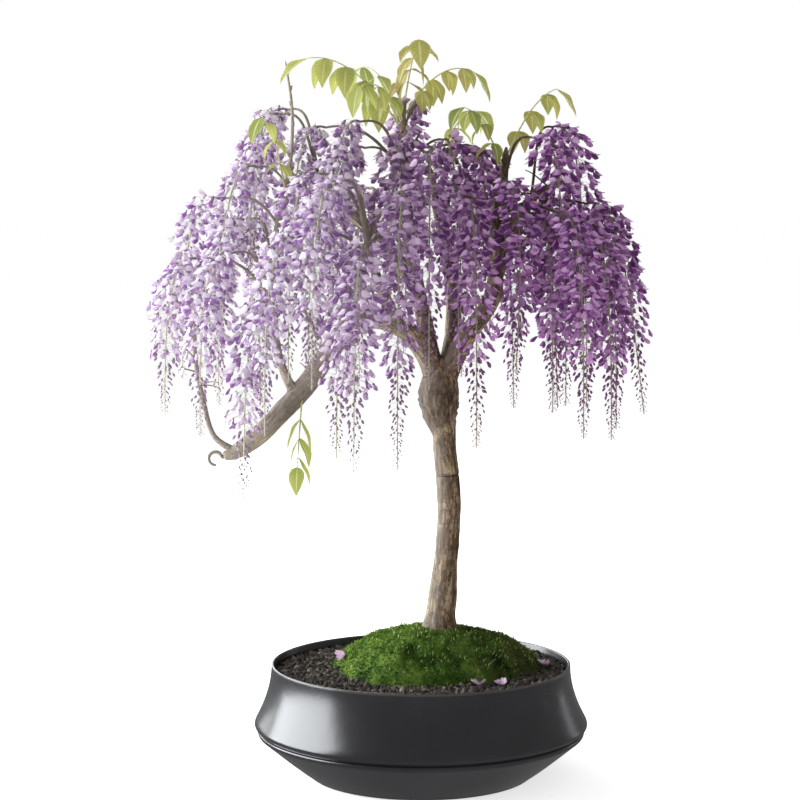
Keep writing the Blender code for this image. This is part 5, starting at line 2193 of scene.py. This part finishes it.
@dataclass
class FallenPetal(Grown):
    """A fallen flower that lies on the soil or the moss, with its petals half spread."""

    number: int
    length: float = 0.0150
    petals: int = 4
    petal_angle: float = 0.85
    rows: int = 9
    columns: int = 7

    def build(self, material: bpy.types.Material) -> None:
        """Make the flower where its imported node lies.

        Args:
            material: its finish.
        """
        node = f"fallen_petal_{self.number}"
        points = node_points(node)
        centre = points.mean(axis=0)
        spread = points - centre
        _, axes = np.linalg.eigh(spread.T @ spread)
        up = axes[:, 0] * (1.0 if axes[2, 0] > 0 else -1.0)
        long = unit(axes[:, 2])
        wide = np.cross(up, long)
        self.start(PETAL_SEED + self.number)
        for number in range(self.petals):
            angle = (number - 0.5 * (self.petals - 1)) * self.petal_angle + self.draw.normal(0.0, 0.12)
            ahead = math.cos(angle) * long + math.sin(angle) * wide
            root = centre - 0.34 * self.length * long + 0.0006 * (number % 2) * up
            self.add_petal(root, ahead, up)
        install(self.maker.build(f"fine_petal_{self.number}", material), SLOTS[node], node)

    def add_petal(self, root: np.ndarray, ahead: np.ndarray, up: np.ndarray) -> None:
        """Add one cupped petal.

        Args:
            root: its narrow end.
            ahead: the direction that it lies in.
            up: the direction away from the ground.
        """
        draw = self.draw
        rows, columns = self.rows, self.columns
        size = self.length * draw.uniform(0.55, 0.80)
        side = np.cross(up, ahead)
        v = np.linspace(0.0, 1.0, rows)[:, None]
        u = np.linspace(-1.0, 1.0, columns)[None]
        half = size * (0.06 + 0.36 * np.sin(math.pi * v**0.8 * 0.93) ** 0.8)
        cup = draw.uniform(0.25, 0.60)
        lift = size * (0.12 + cup * u**2 * 0.40 + draw.uniform(0.30, 0.85) * v**1.5)
        notch = size * 0.08 * np.exp(-((u / 0.3) ** 2)) * v**6
        grid = (
            root + (v * size - notch)[:, :, None] * ahead + (u * half)[:, :, None] * side
            + lift[:, :, None] * up
        )
        tints = np.zeros((rows, columns, 4))
        tints[:, :, 0] = np.abs(u) * 0.4 + 0.6 * (1.0 - v)
        tints[:, :, 1] = draw.random()
        self.maker.add_grid(grid, tints)


# Studio


@dataclass
class Studio:
    """The pale floor, the soft lights and the camera."""

    camera_x: float = -0.028
    camera_y: float = -3.0
    camera_z: float = 0.78
    aim_z: float = 0.5027
    lens: float = 102.2
    sensor: float = 36.0
    light_aim_z: float = 0.45
    light_colour: tuple[float, float, float] = (0.945, 0.975, 1.0)
    floor_z: float = -0.0002
    floor_glow: float = 0.68
    sky_light: float = 0.38
    sky_shine: float = 0.20

    def put(
        self, thing: bpy.types.Object, place: tuple[float, float, float],
        aim: tuple[float, float, float],
    ) -> None:
        """Put a lamp or a camera in the scene.

        Args:
            thing: the lamp or camera.
            place: where it stands.
            aim: the point that it faces.
        """
        thing.location = place
        heading = Vector(aim) - thing.location
        thing.rotation_euler = heading.to_track_quat("-Z", "Y").to_euler()
        bpy.context.scene.collection.objects.link(thing)

    def light(
        self, name: str, place: tuple[float, float, float], size: tuple[float, float],
        power: float, shines: bool = True,
    ) -> None:
        """Add a soft area light that faces the tree.

        Args:
            name: its name.
            place: where it stands.
            size: its width and height.
            power: its power in watts.
            shines: whether glossy surfaces reflect it.
        """
        data = bpy.data.lights.new(name, "AREA")
        data.shape = "RECTANGLE"
        data.size, data.size_y = size
        data.energy = power
        data.color = self.light_colour
        lamp = bpy.data.objects.new(name, data)
        lamp.visible_glossy = shines
        lamp.visible_camera = False
        self.put(lamp, place, (0.0, 0.0, self.light_aim_z))

    def floor(self) -> None:
        """Add the pale floor."""
        graph = Graph.of_material("studio_floor")
        soft = graph.noise(graph.place(), 1.5, 2.0)
        pale = graph.mix(soft, srgb(238, 238, 238), srgb(242, 242, 242))
        glow = {"Emission Strength": self.floor_glow, "Emission Color": WHITE}
        material = graph.finish(pale, 0.9, constants=glow)
        maker = MeshMaker()
        corners = np.array([(-40, -12, 0), (40, -12, 0), (40, 60, 0), (-40, 60, 0)], float)
        corners[:, 2] = self.floor_z
        maker.add(corners, np.zeros(4), np.array([(0, 1, 2, 3)]))
        floor = maker.build("studio_floor", material, smooth=False)
        floor.visible_glossy = False

    def sky(self) -> None:
        """Light the room: white where the camera looks, dimmer as a light and in reflections."""
        world = bpy.data.worlds.new("studio")
        bpy.context.scene.world = world
        graph = Graph(world)

        def glow(strength: float) -> Signal:
            """A white background of a strength."""
            return graph.node("ShaderNodeBackground", {}, {"Color": WHITE, "Strength": strength})

        shown = glow(self.sky_light)
        for ray, strength in (("Is Glossy Ray", self.sky_shine), ("Is Camera Ray", 1.0)):
            seen = graph.node("ShaderNodeLightPath", {}, {}, ray)
            shown = graph.node("ShaderNodeMixShader", {}, {0: seen, 1: shown, 2: glow(strength)})
        graph.link(shown, graph.tree.nodes["World Output"].inputs["Surface"])

    def camera(self) -> None:
        """Set the camera at the photograph's angle."""
        data = bpy.data.cameras.new("view")
        data.lens = self.lens
        data.sensor_width = self.sensor
        camera = bpy.data.objects.new("view", data)
        place = (self.camera_x, self.camera_y, self.camera_z)
        self.put(camera, place, (self.camera_x, 0.0, self.aim_z))
        bpy.context.scene.camera = camera

    def build(self) -> None:
        """Set up the studio."""
        bpy.context.scene.view_settings.view_transform = "Standard"
        self.camera()
        self.floor()
        self.sky()
        self.light("window", (-2.7, 0.25, 1.12), (3.0, 2.3), 172.0)
        self.light("back_window", (-1.5, 2.8, 1.35), (3.0, 2.5), 60.0)
        self.light("fill", (1.0, -3.4, 2.4), (2.6, 2.0), 15.0, False)
        self.light("edge", (2.6, 1.9, 0.6), (0.3, 1.4), 2.0)
        LOG.info("studio is set")


def main() -> None:
    """Build every piece in order."""
    logging.basicConfig(level=logging.INFO, format="%(name)s %(message)s")
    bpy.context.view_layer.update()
    Studio().build()
    Pot().build()
    moss = Moss()
    Ground().build(moss)
    moss.build()
    wood = node_surface("tree")
    names = sorted(name for name in frame["nodes"] if name.startswith("raceme_"))
    racemes = [
        Raceme.on_node(name, OWN_REACHES.get(number, REACH), number, wood)
        for number, name in enumerate(names)
    ]
    Wood().build(racemes)
    flowers = FlowerFinish().build("flowers")
    for raceme in racemes:
        raceme.build(flowers)
    leaves = LeafFinish().build("leaves")
    for number, leaf in enumerate(LEAVES, 1):
        leaf.build(number, wood, leaves)
    petals = PetalFinish().build()
    for number in range(1, FALLEN_PETALS + 1):
        FallenPetal(number).build(petals)


if __name__ == "__main__":
    main()
